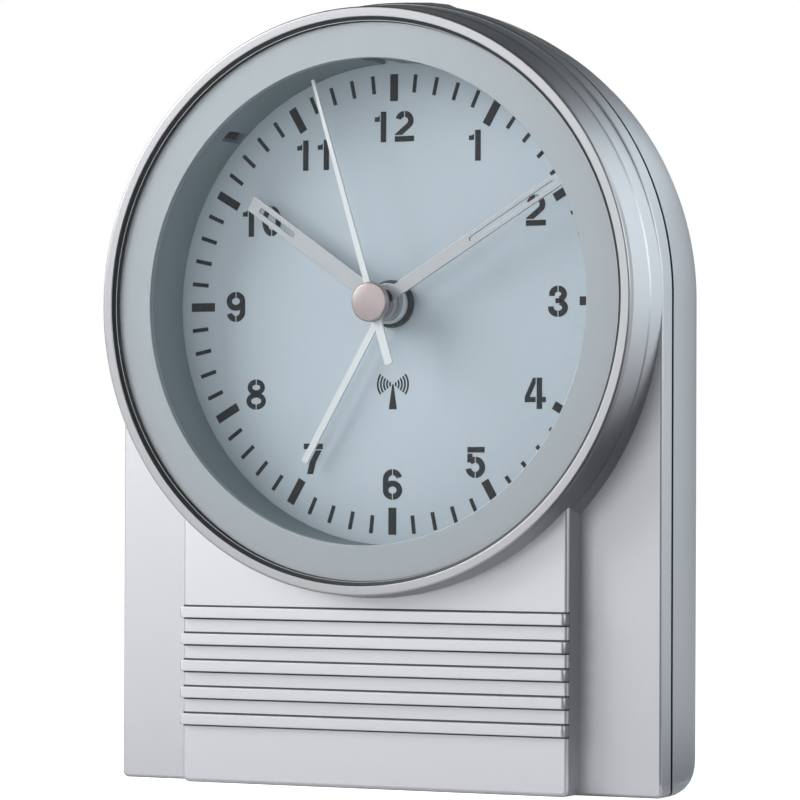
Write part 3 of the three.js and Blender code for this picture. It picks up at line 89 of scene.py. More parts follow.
# %% [markdown]
# ## The camera
# The photograph was taken from the clock's right, low down, with a long lens. Its place was solved
# from the circles of the dial and the edges of the plinth. The camera is aimed a little up and to
# the side instead of being shifted, so that it can swing round the clock for other views.

# %% Camera
CAMERA_TURN = math.radians(26.493)  # round to the clock's right
CAMERA_DISTANCE = 664.8
CAMERA_HEIGHT = 50.8
CAMERA_PAN = math.radians(0.221)
CAMERA_TILT = math.radians(1.173)
CAMERA_ROLL = math.radians(0.241)
FOCAL_LENGTH = 179.7

forward = Vector((-math.sin(CAMERA_TURN), math.cos(CAMERA_TURN), 0))
sideways = Vector((math.cos(CAMERA_TURN), math.sin(CAMERA_TURN), 0))
upward = Vector((0, 0, 1))
aim = (forward + math.tan(CAMERA_PAN) * sideways + math.tan(CAMERA_TILT) * upward).normalized()
rolled = math.cos(CAMERA_ROLL) * upward - math.sin(CAMERA_ROLL) * sideways
camera_right = aim.cross(rolled).normalized()
camera_up = camera_right.cross(aim)
eye = to_frame @ (-CAMERA_DISTANCE * forward + CAMERA_HEIGHT * upward)

camera = bpy.data.objects.new("camera", bpy.data.cameras.new("camera"))
camera.data.lens = FOCAL_LENGTH
camera.data.sensor_width = 36
axes = Matrix((camera_right, camera_up, -aim)).transposed()
camera.matrix_world = Matrix.Translation(eye) @ axes.to_4x4()
scene.collection.objects.link(camera)
scene.camera = camera
scene.view_settings.view_transform = "Standard"
print("camera at", [round(value, 3) for value in eye])

# %% [markdown]
# ## Finishes from noise
# Almost every surface of this clock is moulded plastic, painted plastic or plated metal. Such a
# finish is one colour broken up by a grain: tiny flakes in silver paint, a matt spark texture in
# plastic, drawing marks on metal. One helper builds that from Object coordinates, so the grain keeps
# its real size in millimetres on every piece and needs no unwrapping.

# %% Finish helper
def linear(red, green, blue):
    """An 8-bit screen colour as the linear values that a shader takes."""
    steps = [value / 255 for value in (red, green, blue)]
    return [((step + 0.055) / 1.055) ** 2.4 if step > 0.04 else step / 12.92 for step in steps]


def set_inputs(node, values):
    for socket, value in values.items():
        node.inputs[socket].default_value = value


GLOSS_SPREAD = 2.5  # how much more the gloss varies than the colour
GRAIN_DETAIL = 3
GRAIN_STRENGTH = 0.35


def finish(name, screen_colour, metallic, roughness, grain, contrast, relief, stretch=(1, 1, 1)):
    """A grained finish. Grain is in mm, contrast is a share of the colour, relief is in mm."""
    material = bpy.data.materials.new(name)
    material.use_nodes = True
    nodes, links = material.node_tree.nodes, material.node_tree.links
    shader = nodes["Principled BSDF"]
    set_inputs(shader, {"Metallic": metallic})
    place = nodes.new("ShaderNodeTexCoord")
    mapping = nodes.new("ShaderNodeMapping")
    set_inputs(mapping, {"Scale": stretch})
    links.new(place.outputs["Object"], mapping.inputs["Vector"])
    flakes = nodes.new("ShaderNodeTexNoise")
    set_inputs(flakes, {"Scale": 1000 / grain, "Detail": GRAIN_DETAIL})
    links.new(mapping.outputs["Vector"], flakes.inputs["Vector"])
    tint = nodes.new("ShaderNodeMix")
    tint.data_type = "RGBA"
    base = linear(*screen_colour)
    darker = [value * (1 - contrast) for value in base]
    lighter = [min(1, value * (1 + contrast)) for value in base]
    set_inputs(tint, {"A": darker + [1], "B": lighter + [1]})
    links.new(flakes.outputs["Fac"], tint.inputs["Factor"])
    links.new(tint.outputs["Result"], shader.inputs["Base Color"])
    gloss = nodes.new("ShaderNodeMapRange")
    spread = GLOSS_SPREAD * contrast
    set_inputs(gloss, {"To Min": roughness * (1 - spread), "To Max": min(1, roughness * (1 + spread))})
    links.new(flakes.outputs["Fac"], gloss.inputs["Value"])
    links.new(gloss.outputs["Result"], shader.inputs["Roughness"])
    bump = nodes.new("ShaderNodeBump")
    set_inputs(bump, {"Strength": GRAIN_STRENGTH, "Distance": relief / 1000})
    links.new(flakes.outputs["Fac"], bump.inputs["Height"])
    links.new(bump.outputs["Normal"], shader.inputs["Normal"])
    return material


# %% [markdown]
# ## The clock's finishes
# The case is sprayed with a satin silver that holds fine flakes, the bezel is vacuum plated, the dial is a
# pale blue-grey print under the crystal and the wall round it is a dark blue-grey. The screen colours were
# chosen so that each piece looks under these lamps as it does on the photograph.

# %% Case and dial finishes
# name, screen colour, metallic, roughness, grain in mm, contrast, relief in mm
silver_paint = finish("silver_paint", (189, 190, 194), 1.0, 0.46, 0.22, 0.06, 0.002)
# a lighter copy of the case's silver paint on the same moulding: painted light on the plinth and its ribs
plinth_lit_silver = finish("plinth_lit_silver", (197, 198, 202), 1.0, 0.46, 0.22, 0.06, 0.002)
plated_silver = finish("plated_silver", (165, 166, 169), 0.9, 0.36, 2.0, 0.012, 0.0002)
ring_silver = finish("ring_silver", (146, 153, 157), 0.6, 0.4, 0.18, 0.04, 0.003)
dark_wall_grey = finish("dark_wall_grey", (104, 119, 124), 0.0, 0.6, 0.3, 0.06, 0.005)
dial_paint = finish("dial_paint", (174, 187, 196), 0.0, 0.55, 0.6, 0.02, 0.002)
dial_ink = finish("dial_ink", (15, 21, 26), 0.0, 0.8, 0.2, 0.1, 0.003)
hand_silver = finish("hand_silver", (157, 161, 165), 0.5, 0.35, 0.5, 0.05, 0.003)
white_hand_paint = finish("white_hand_paint", (199, 205, 208), 0.1, 0.5, 0.4, 0.03, 0.003)
cap_nickel = finish("cap_nickel", (155, 145, 146), 0.6, 0.32, 0.8, 0.06, 0.002)
black_plastic = finish("black_plastic", (30, 33, 36), 0.0, 0.45, 0.3, 0.12, 0.006)
# the clear lamp is given a near-black colour: painted shade of the window's recess round it
lamp_shaded_dark = finish("lamp_shaded_dark", (26, 29, 31), 0.0, 0.35, 1.0, 0.05, 0.002)
# the dark grey for the lines along the ribs is painted shadow
rib_shadow_grey = finish("rib_shadow_grey", (66, 70, 73), 0.3, 0.6, 0.22, 0.06, 0.002)
# the near-black finish of the seam strip is painted shade of the groove between the housings
seam_shade_black = finish("seam_shade_black", (12, 14, 15), 0.0, 0.9, 0.3, 0.12, 0.004)
SEAM_GLOSS = 0.05
set_inputs(seam_shade_black.node_tree.nodes["Principled BSDF"], {"Specular IOR Level": SEAM_GLOSS})
print("case and dial finishes made")

# %% [markdown]
# ## Finishes of the back and the inside
# The inside is seen only when the battery door is open, yet each piece still has its own finish, so
# that a copy of the clock can be opened up and drawn. Drawn wire and turned metal get a grain that is
# stretched along one axis.

# %% Inner finishes
button_plastic = finish("grey_button_plastic", (120, 126, 130), 0.0, 0.6, 0.25, 0.08, 0.008)
control_plastic = finish("dark_control_plastic", (58, 65, 69), 0.0, 0.55, 0.25, 0.1, 0.008)
gear_plastic = finish("gear_plastic", (232, 230, 222), 0.0, 0.45, 0.5, 0.04, 0.004)
movement_plastic = finish("movement_plastic", (224, 223, 217), 0.0, 0.5, 0.4, 0.05, 0.006)
bright_steel = finish("bright_steel", (186, 188, 190), 0.95, 0.3, 0.6, 0.07, 0.003, (1, 1, 6))
copper_wire = finish("copper_wire", (186, 112, 58), 0.85, 0.35, 0.25, 0.2, 0.03, (0.2, 1, 1))
rotor_magnet = finish("rotor_magnet", (66, 66, 70), 0.2, 0.55, 0.4, 0.1, 0.006)
board_lacquer = finish("board_lacquer", (44, 107, 69), 0.0, 0.35, 1.2, 0.15, 0.01)
ferrite_grey = finish("ferrite_grey", (59, 59, 61), 0.1, 0.7, 0.35, 0.15, 0.015)
buzzer_disc = finish("buzzer_disc", (196, 168, 96), 0.8, 0.35, 0.7, 0.08, 0.004)
cell_wrap = finish("cell_wrap", (74, 85, 96), 0.3, 0.35, 1.5, 0.06, 0.003)
foot_rubber = finish("foot_rubber", (42, 44, 46), 0.0, 0.85, 0.4, 0.12, 0.02)
print("inner finishes made")

# %% [markdown]
# ## The crystal's finish
# The crystal is a clear acrylic disc. Real refraction would only add noise over such a thin flat
# sheet, so the finish is a faint pale film: mostly see-through, with a little gloss of its own.

# %% Crystal finish
FILM_SHARE = 0.012  # the part of the light that the film holds back
crystal_film = finish("crystal_film", (236, 243, 247), 0.0, 0.06, 8.0, 0.02, 0.001)
set_inputs(crystal_film.node_tree.nodes["Principled BSDF"], {"Alpha": FILM_SHARE})
print("crystal lets through", 1 - FILM_SHARE)

# %% [markdown]
# ## Helpers for modelling
# Most of the clock is turned or moulded from flat outlines, so three moves make nearly all of it:
# spin a profile round an axis, push a flat face into a plate, and soften the edges that a finger
# would touch. Ribs and ticks are plain boxes. The last helper cleans the mesh, takes it to the frame
# and hands it to its body.

# %% Finding points and edges
MERGE = 1e-4  # points closer than this are one, in mm
NEAR = 0.01  # points this close to a plane lie on it, in mm
WALL_LEAN = 0.2  # the most that a side wall's normal leans to the front


def added(items, before):
    return [item for item in items if item not in before]


def lies_at(edge, y):
    return all(abs(vert.co.y - y) < NEAR for vert in edge.verts)


def by_a_wall(edge):
    return any(abs(face.normal.y) < WALL_LEAN for face in edge.link_faces)


def dial_reach(vert):
    return math.hypot(vert.co.x, vert.co.z - DIAL_Z)


def rim(bm, radius, y):
    """The edges of one circle on a turned piece."""
    def on_rim(vert):
        return abs(dial_reach(vert) - radius) < 2 * NEAR and abs(vert.co.y - y) < 2 * NEAR
    return [edge for edge in bm.edges if all(on_rim(vert) for vert in edge.verts)]


# %% Shaping helpers
ROUND_STEPS = 144  # sides of a large circle
SMALL_STEPS = 48


def add_chain(bm, points, closed=False):
    """Joins (x, y, z) points by edges."""
    verts = [bm.verts.new(point) for point in points]
    ends = verts[1:] + verts[:1] if closed else verts[1:]
    edges = [bm.edges.new(pair) for pair in zip(verts, ends)]
    return verts, edges


def add_turned(bm, profile, steps=ROUND_STEPS, closed=True):
    """Spins a profile of (radius, y) points round the dial's axis."""
    verts, edges = add_chain(bm, [(radius, y, DIAL_Z) for radius, y in profile], closed)
    bmesh.ops.spin(bm, geom=verts + edges, cent=(0, 0, DIAL_Z), axis=(0, 1, 0), angle=2 * math.pi,
                   steps=steps, use_merge=True, use_duplicate=False)
    bmesh.ops.remove_doubles(bm, verts=bm.verts, dist=MERGE)


def add_box(bm, centre, size, turn=Matrix()):
    place = turn @ Matrix.Translation(centre)
    bmesh.ops.create_cube(bm, size=1, matrix=place @ Matrix.Diagonal((*size, 1)))


def soften(bm, edges, width, segments=3, clamp=True):
    bmesh.ops.bevel(bm, geom=edges, offset=width, offset_type="OFFSET", affect="EDGES",
                    segments=segments, profile=0.5, material=-1, clamp_overlap=clamp)


def push(bm, faces, depth):
    """Gives a flat face region thickness along Y."""
    grown = bmesh.ops.extrude_face_region(bm, geom=faces)["geom"]
    moved = [item for item in grown if isinstance(item, bmesh.types.BMVert)]
    bmesh.ops.translate(bm, verts=moved, vec=(0, depth, 0))
    return moved


# %% Handing a piece to its body
def make_piece(name, bm, material, stands_for=(), body="case", crease=35, turn_out=True):
    """Cleans a mesh in case millimetres, takes it to the frame and lets it ride on its body."""
    bmesh.ops.remove_doubles(bm, verts=bm.verts, dist=MERGE)
    if turn_out:
        bmesh.ops.recalc_face_normals(bm, faces=bm.faces)
    bmesh.ops.transform(bm, matrix=to_frame, verts=bm.verts)
    mesh = bpy.data.meshes.new(name)
    bm.to_mesh(mesh)
    bm.free()
    mesh.shade_smooth()
    mesh.set_sharp_from_angle(angle=math.radians(crease))
    mesh.materials.append(material)
    piece = bpy.data.objects.new(name, mesh)
    scene.collection.objects.link(piece)
    even = piece.modifiers.new("even_shading", "WEIGHTED_NORMAL")
    even.keep_sharp = True
    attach(piece, body)
    if stands_for:
        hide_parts(*stands_for)
    print(f"{name}: {len(mesh.polygons)} faces, rides on {body}")
    return piece


# %% [markdown]
# ## The drum
# The dial sits in a drum that stands out of the panel in two steps. On the real clock it is one
# moulding with the panel. It is a turned shape, so half of its section is drawn once and spun, and
# the rims that catch the light get a small radius afterwards.

# %% Drum
BEZEL_SKIRT = 0.9  # how far the bezel's side covers the drum
DRUM_FRONT = front_low.y + BEZEL_SKIRT
DRUM_WALL = 0.9
DRUM_FOOT_RADIUS = CASE_HALF - 0.15
DRUM_STEP_RADIUS = DRUM_FOOT_RADIUS - 0.45
DRUM_WAIST_RADIUS = DRUM_STEP_RADIUS - 0.22
DRUM_FRONT_RADIUS = DRUM_WAIST_RADIUS - 0.93
DRUM_STEP_Y = -3.6
STEP_SLOPE = 0.27  # depth of the step's small chamfer
DRUM_BACK = 0.9
DRUM_BORE = DRUM_FRONT_RADIUS - DRUM_WALL
DRUM_LEDGE_RADIUS = DRUM_BORE - 1.5
DRUM_LEDGE = RING_BACK + 0.15  # the ledge under the dial ring
DRUM_FOOT = 0.2
DRUM_EDGE = 0.08
print(f"drum from radius {DRUM_FRONT_RADIUS:.2f} in front to {DRUM_FOOT_RADIUS:.2f} mm at the panel")

drum_bm = bmesh.new()
add_turned(drum_bm, [
    (DRUM_BORE, DRUM_FRONT),
    (DRUM_FRONT_RADIUS, DRUM_FRONT),
    (DRUM_WAIST_RADIUS, DRUM_STEP_Y),
    (DRUM_STEP_RADIUS, DRUM_STEP_Y + STEP_SLOPE),
    (DRUM_FOOT_RADIUS, DRUM_FOOT),
    (DRUM_FOOT_RADIUS, DRUM_BACK),
    (DRUM_LEDGE_RADIUS, DRUM_BACK),
    (DRUM_LEDGE_RADIUS, DRUM_LEDGE),
    (DRUM_BORE, DRUM_LEDGE),
])
soften(drum_bm, rim(drum_bm, DRUM_FRONT_RADIUS, DRUM_FRONT), DRUM_EDGE)
make_piece("drum", drum_bm, silver_paint, ["front_housing"], crease=18)

# %% [markdown]
# ## The arch panel
# Behind the drum stands a flat panel with straight sides and a half-round top. A half circle and two
# small corners are spun from single vertices and joined to an outline, and a second circle leaves
# room for the dial. The area between them is filled and pushed to its thickness. The top leans back a
# little, as a moulding does to leave its tool, and one bevel rolls the whole front edge over.

# %% Arch panel
PANEL_DEPTH = 3.85
PANEL_EDGE = 0.5
CASE_CORNER = 0.95
CORNER_STEPS = 5
EDGE_STEPS = 5
ARCH_Z = DIAL_Z + 0.5
CROWN_DRAFT = 0.35  # how much lower the top is at the panel's face


def spin_point(bm, point, centre, degrees, steps):
    """Draws an arc from a vertex and gives back its far end."""
    made = bmesh.ops.spin(bm, geom=[point], cent=centre, axis=(0, -1, 0), angle=math.radians(degrees),
                          steps=steps, use_merge=False, use_duplicate=False)
    return made["geom_last"][0]


def close_foot(bm, left_top, right_top, half, y, foot, corner):
    """Joins the two ends of an arc by straight sides and a foot with small corners."""
    left = bm.verts.new((-half, y, foot + corner))
    bm.edges.new((left_top, left))
    low_left = spin_point(bm, left, (corner - half, y, foot + corner), 90, CORNER_STEPS)
    low_right = bm.verts.new((half - corner, y, foot))
    bm.edges.new((low_left, low_right))
    right = spin_point(bm, low_right, (half - corner, y, foot + corner), 90, CORNER_STEPS)
    bm.edges.new((right, right_top))


def add_arch(bm, half, y, foot):
    """A closed outline: a half circle on two straight sides."""
    shoulder = bm.verts.new((half, y, ARCH_Z))
    far_shoulder = spin_point(bm, shoulder, (0, y, ARCH_Z), 180, ROUND_STEPS // 2)
    close_foot(bm, far_shoulder, shoulder, half, y, foot, CASE_CORNER)


def fill(bm):
    bmesh.ops.triangle_fill(bm, use_beauty=True, use_dissolve=False, edges=bm.edges)


def on_outline(vert):
    return abs(vert.co.y) < NEAR and dial_reach(vert) > DRUM_BORE + 1


panel_bm = bmesh.new()
add_arch(panel_bm, CASE_HALF, 0, 0)
upright = Matrix.Translation((0, 0, DIAL_Z)) @ Matrix.Rotation(math.pi / 2, 4, "X")
bmesh.ops.create_circle(panel_bm, cap_ends=False, radius=DRUM_BORE, segments=ROUND_STEPS, matrix=upright)
fill(panel_bm)
push(panel_bm, panel_bm.faces[:], PANEL_DEPTH)
bmesh.ops.recalc_face_normals(panel_bm, faces=panel_bm.faces)
crown = [vert for vert in panel_bm.verts if on_outline(vert) and vert.co.z > ARCH_Z]
bmesh.ops.scale(panel_bm, vec=(1, 1, 1 - CROWN_DRAFT / CASE_HALF), verts=crown,
                space=Matrix.Translation((0, 0, -ARCH_Z)))
outline = [edge for edge in panel_bm.edges
           if all(on_outline(vert) for vert in edge.verts) and by_a_wall(edge)]
soften(panel_bm, outline, PANEL_EDGE, EDGE_STEPS, clamp=False)
make_piece("arch_panel", panel_bm, silver_paint, ["front_housing"])

# %% [markdown]
# ## The seam
# The front and the rear housing meet in a narrow groove. Hardly any light comes back out of it, so it reads
# as a black line round the case. A black strip just under the surface paints that shade in as a line.

# %% Seam strip
SEAM_DEPTH = 0.12
STRIP_WIDTH = 0.8
SEAM_BACK = PANEL_DEPTH + 0.8

# the black strip is painted shade: it stands for the dark inside of the groove between the front and rear
# housing
seam_bm = bmesh.new()
for inset in (SEAM_DEPTH, SEAM_DEPTH + STRIP_WIDTH):
    add_arch(seam_bm, CASE_HALF - inset, PANEL_DEPTH, inset)
fill(seam_bm)
push(seam_bm, seam_bm.faces[:], SEAM_BACK - PANEL_DEPTH)
make_piece("seam_shade_strip", seam_bm, seam_shade_black)

# %% [markdown]
# ## The plinth and its ribs
# The plinth stands in front of the panel and runs up to the drum. Its outline has a hollow top that follows
# the drum, so it is drawn from one spun arc over the same kind of foot as the panel's. Five ribs lie across
# it. They are plain bars with rolled ends, spaced evenly by a loop, and a dark bar behind each one paints
# the line of shadow along its edges.

# %% Plinth
PLINTH_HALF = 35.6
PLINTH_FRONT = -4.8
PLINTH_BACK = 0.5  # just inside the panel
PLINTH_EDGE = 0.7
PLINTH_CORNER = 1.1
PLINTH_TOP_RADIUS = DRUM_FRONT_RADIUS - 0.4


def under_drum(vert):
    return abs(dial_reach(vert) - PLINTH_TOP_RADIUS) < 10 * NEAR


plinth_bm = bmesh.new()
swing = math.asin(PLINTH_HALF / PLINTH_TOP_RADIUS)  # half of the arc under the drum
right_top = plinth_bm.verts.new((PLINTH_HALF, PLINTH_BACK, DIAL_Z - PLINTH_TOP_RADIUS * math.cos(swing)))
left_top = spin_point(plinth_bm, right_top, (0, PLINTH_BACK, DIAL_Z), -math.degrees(2 * swing), SMALL_STEPS)
close_foot(plinth_bm, left_top, right_top, PLINTH_HALF, PLINTH_BACK, 0, PLINTH_CORNER)
fill(plinth_bm)
push(plinth_bm, plinth_bm.faces[:], PLINTH_FRONT - PLINTH_BACK)
bmesh.ops.recalc_face_normals(plinth_bm, faces=plinth_bm.faces)
sides = [edge for edge in plinth_bm.edges
         if lies_at(edge, PLINTH_FRONT) and by_a_wall(edge)
         and not all(under_drum(vert) for vert in edge.verts)]
soften(plinth_bm, sides, PLINTH_EDGE, EDGE_STEPS, clamp=False)
make_piece("plinth", plinth_bm, plinth_lit_silver, ["front_housing"])

# %% Ribs
RIB_COUNT = 5
RIB_TOP = 29.57
RIB_PITCH = 4.5
RIB_HEIGHT = 1.82
RIB_FRONT = PLINTH_FRONT - 1.3
SLACK = 0.05
RIB_BACK = PLINTH_FRONT + PLINTH_EDGE - SLACK  # where the plinth's flat side begins
RIB_EDGE = 0.12


def add_bars(bm, half, front, height, end_round):
    """One bar for each rib, with its front corners rolled over."""
    for number in range(RIB_COUNT):
        middle = RIB_TOP - number * RIB_PITCH - RIB_HEIGHT / 2
        add_box(bm, (0, (front + RIB_BACK) / 2, middle), (2 * half, RIB_BACK - front, height))
    ends = [edge for edge in bm.edges
            if lies_at(edge, front) and abs(edge.verts[0].co.x - edge.verts[1].co.x) < NEAR]
    soften(bm, ends, end_round, EDGE_STEPS)


ribs_bm = bmesh.new()
add_bars(ribs_bm, PLINTH_HALF, RIB_FRONT, RIB_HEIGHT, PLINTH_EDGE)
rib_edges = [edge for edge in ribs_bm.edges
             if abs(edge.verts[0].co.z - edge.verts[1].co.z) < NEAR
             and any(abs(face.normal.z) > 0.9 for face in edge.link_faces)
             and min(vert.co.y for vert in edge.verts) < RIB_BACK - NEAR]
soften(ribs_bm, rib_edges, RIB_EDGE)
make_piece("ribs", ribs_bm, plinth_lit_silver, ["front_housing"])

# %% Painted rib shadow lines
SHADOW_LINE = 0.3  # height of the dark line along a rib
PROUD = 0.01  # how far the dark bars stand out of the plinth

# the dark bars round each rib are painted shadow lines along its top and bottom edges
rib_shadow_bm = bmesh.new()
add_bars(rib_shadow_bm, PLINTH_HALF + PROUD, PLINTH_FRONT - 2 * PROUD, RIB_HEIGHT + 2 * SHADOW_LINE,
         PLINTH_EDGE - SLACK)
make_piece("rib_shadow_lines", rib_shadow_bm, rib_shadow_grey, ["front_housing"])

# %% [markdown]
# ## The bezel, the crystal and the dial ring
# A plated ring clamps the crystal to the drum. Its front is a narrow flat and its outer edge is rounded. A
# black ring with one bright lip fills the slope from the ring down to the crystal, and its black is painted
# shade of the gap between bezel and crystal. The silver dial ring lies under the crystal and hides the edge
# of the dial well. All are turned pieces.

# %% Bezel
BEZEL_EDGE_RADIUS = BEZEL_RADIUS + 0.35
BEZEL_FACE = BEZEL_FRONT + 0.5
BEZEL_FACE_INNER = BEZEL_RADIUS - 1.35
RING_EDGE = BEZEL_FACE_INNER - 0.8
BEZEL_BACK = DRUM_FRONT + 0.05
BEZEL_ROUND, BEZEL_INNER_EDGE, BEZEL_SKIRT_EDGE = 0.4, 0.15, 0.1
SHADE_RING_FRONT = BEZEL_FACE + 0.3
SHADE_RING_SEAT = BEZEL_FACE_INNER + 0.3
CRYSTAL_BACK = RING_FRONT - 0.15
CRYSTAL_FRONT = CRYSTAL_BACK - 0.9
CRYSTAL_RADIUS = RING_EDGE - 0.15
CRYSTAL_EDGE = 0.1

bezel_bm = bmesh.new()
add_turned(bezel_bm, [
    (RING_OUTER, BEZEL_BACK),
    (BEZEL_EDGE_RADIUS, BEZEL_BACK),
    (BEZEL_EDGE_RADIUS, BEZEL_FACE),
    (BEZEL_FACE_INNER, BEZEL_FACE),
    (BEZEL_FACE_INNER, SHADE_RING_FRONT),
    (SHADE_RING_SEAT, CRYSTAL_BACK),
    (RING_OUTER, CRYSTAL_BACK),
])
soften(bezel_bm, rim(bezel_bm, BEZEL_EDGE_RADIUS, BEZEL_FACE), BEZEL_ROUND, 6)
soften(bezel_bm, rim(bezel_bm, BEZEL_FACE_INNER, BEZEL_FACE), BEZEL_INNER_EDGE)
soften(bezel_bm, rim(bezel_bm, BEZEL_EDGE_RADIUS, BEZEL_BACK), BEZEL_SKIRT_EDGE)
make_piece("bezel", bezel_bm, plated_silver, ["bezel_ring"])

# %% Painted gap shade and lip
LIP_Y = SHADE_RING_FRONT + 0.35
LIP_SEAT = BEZEL_FACE_INNER - 0.55
LIP_OUTER = LIP_SEAT - 0.02
LIP_INNER = LIP_SEAT - 0.1
LIP_HALF = 0.05

# the black ring down the slope is painted shade of the gap between bezel and crystal
gap_shade_bm = bmesh.new()
add_turned(gap_shade_bm, [
    (BEZEL_FACE_INNER, SHADE_RING_FRONT),
    (SHADE_RING_SEAT, CRYSTAL_BACK),
    (RING_EDGE, CRYSTAL_BACK),
    (LIP_INNER, LIP_Y),
    (LIP_SEAT, LIP_Y),
])
make_piece("crystal_gap_shade", gap_shade_bm, black_plastic, ["bezel_ring"])
lip_bm = bmesh.new()
add_turned(lip_bm, [
    (LIP_OUTER, LIP_Y - LIP_HALF),
    (LIP_INNER, LIP_Y - LIP_HALF),
    (LIP_INNER, LIP_Y + LIP_HALF),
    (LIP_OUTER, LIP_Y + LIP_HALF),
])
make_piece("bezel_lip", lip_bm, plated_silver, ["bezel_ring"])

# %% Crystal
crystal_bm = bmesh.new()
add_turned(crystal_bm, [
    (0, CRYSTAL_FRONT),
    (CRYSTAL_RADIUS, CRYSTAL_FRONT),
    (CRYSTAL_RADIUS, CRYSTAL_BACK),
    (0, CRYSTAL_BACK),
], closed=False)
soften(crystal_bm, rim(crystal_bm, CRYSTAL_RADIUS, CRYSTAL_FRONT), CRYSTAL_EDGE, 2)
make_piece("crystal_disc", crystal_bm, crystal_film, ["crystal"])

# %% Dial ring
VIEW_RADIUS = 40.2
RING_INNER_EDGE = 0.12
ring_bm = bmesh.new()
add_turned(ring_bm, [
    (VIEW_RADIUS, RING_FRONT),
    (RING_OUTER, RING_FRONT),
    (RING_OUTER, RING_BACK),
    (VIEW_RADIUS, RING_BACK),
])
soften(ring_bm, rim(ring_bm, VIEW_RADIUS, RING_FRONT), RING_INNER_EDGE, 2)
make_piece("dial_ring_silver", ring_bm, ring_silver, ["dial_ring"])

# %% [markdown]
# ## The dial well
# The dial lies deep behind the crystal. A dark grey wall joins the ring to it, with a key slot at twelve
# and a small window for the lamp. The wall's cuts are already right in the CAD, so a copy of that node is
# merged and smoothed. The dial itself is a thin disc with a hole for the hand shafts.

# %% Copies of CAD nodes
CAD_MERGE = 1e-3
FLAT_ANGLE = math.radians(0.5)  # faces that meet at less are one flat
SHARP_ANGLE = math.radians(50)  # edges that turn by more are softened


def refined_copy(node, name, material, body="case", crease=30, edge_width=0.0, change=None):
    """A merged copy of a CAD node, changed and softened at its sharp edges where asked."""
    bm = bmesh.new()
    bm.from_mesh(frame["nodes"][node].data)
    bmesh.ops.transform(bm, matrix=to_case, verts=bm.verts)
    bmesh.ops.remove_doubles(bm, verts=bm.verts, dist=CAD_MERGE)
    bmesh.ops.dissolve_limit(bm, angle_limit=FLAT_ANGLE, verts=bm.verts, edges=bm.edges)
    if change:
        change(bm)
    if edge_width:
        sharp = [edge for edge in bm.edges
                 if len(edge.link_faces) == 2 and edge.calc_face_angle() > SHARP_ANGLE]
        soften(bm, sharp, edge_width, 2)
    return make_piece(name, bm, material, [node], body, crease, turn_out=False)


refined_copy("dial_wall", "dial_well_wall", dark_wall_grey)

# %% Dial disc
DIAL_HOLE = 3.55
DIAL_EDGE = (dial_high.x - dial_low.x) / 2
disc_bm = bmesh.new()
add_turned(disc_bm, [
    (DIAL_HOLE, DIAL_FACE),
    (DIAL_EDGE, DIAL_FACE),
    (DIAL_EDGE, dial_high.y),
    (DIAL_HOLE, dial_high.y),
])
make_piece("dial_disc", disc_bm, dial_paint, ["dial_plate"])

# %% [markdown]
# ## Printed ticks
# Sixty ticks are printed round the dial, with a broad one at each hour. A print is a film of ink, so
# each tick is a very thin box on the dial, turned into place by a loop.

# %% Ticks
INK = 0.04  # thickness of the printed film
INK_FRONT = DIAL_FACE - INK
HOUR_TICK = (34.03, 38.56, 1.46)  # inner radius, outer radius, width
MINUTE_TICK = (35.5, 38.56, 0.68)


def clock_turn(degrees):
    """Turns a piece drawn at twelve to another place on the dial, clockwise."""
    centre = Matrix.Translation((0, 0, DIAL_Z))
    return centre @ Matrix.Rotation(math.radians(degrees), 4, "Y")


ticks_bm = bmesh.new()
for minute in range(60):
    inner, outer, width = HOUR_TICK if minute % 5 == 0 else MINUTE_TICK
    middle = (0, DIAL_FACE - INK / 2, (inner + outer) / 2)
    add_box(ticks_bm, middle, (width, INK, outer - inner), clock_turn(6 * minute))
make_piece("dial_ticks", ticks_bm, dial_ink)

# %% [markdown]
# ## Printed figures
# The figures look as if they were cut from a stencil: heavy strokes with fine slits at the top and
# bottom. A font would not have the slits, so each figure is put together from bars and bows on a grid
# one unit high. A bow is two arcs spun from single vertices and bridged. Where two bows meet in the
# middle of a figure, a short bar closes the slit between them.

# %% Strokes
STROKE = 0.2  # share of a figure's height
EIGHT_STROKE = 0.175
SLIT = 0.036
PATCH_DEPTH = 0.002  # straight parts lie a hair behind the bows they overlap
BOW_STEP = 9  # degrees


def add_patch(bm, corners):
    bm.faces.new([bm.verts.new((x, PATCH_DEPTH, z)) for x, z in corners])


def add_bar(bm, left, right, low, high):
    add_patch(bm, [(left, low), (right, low), (right, high), (left, high)])


def add_arc(bm, centre, radii, start, end):
    """An arc in degrees from +X upwards. An end at the very top or bottom leaves half a slit."""
    trim = math.degrees(math.asin(SLIT / 2 / radii[0]))
    start += trim if start % 180 == 90 else 0
    end -= trim if end % 180 == 90 else 0
    before = set(bm.edges)
    angle = math.radians(start)
    vert = bm.verts.new((math.cos(angle), 0, math.sin(angle)))
    spin_point(bm, vert, (0, 0, 0), end - start, max(4, round((end - start) / BOW_STEP)))
    edges = added(bm.edges, before)
    verts = list({vert for edge in edges for vert in edge.verts})
    bmesh.ops.scale(bm, vec=(radii[0], 1, radii[1]), verts=verts)
    bmesh.ops.translate(bm, vec=(centre[0], 0, centre[1]), verts=verts)
    return edges


def add_bow(bm, centre, radii, start, end, stroke=STROKE):
    outer = add_arc(bm, centre, radii, start, end)
    inner = add_arc(bm, centre, (radii[0] - stroke, radii[1] - stroke), start, end)
    bmesh.ops.bridge_loops(bm, edges=outer + inner)


def add_loop(bm, centre, radii, stroke=STROKE):
    """A right and a left bow with a slit at the top and the bottom."""
    add_bow(bm, centre, radii, -90, 90, stroke)
    add_bow(bm, centre, radii, 90, 270, stroke)


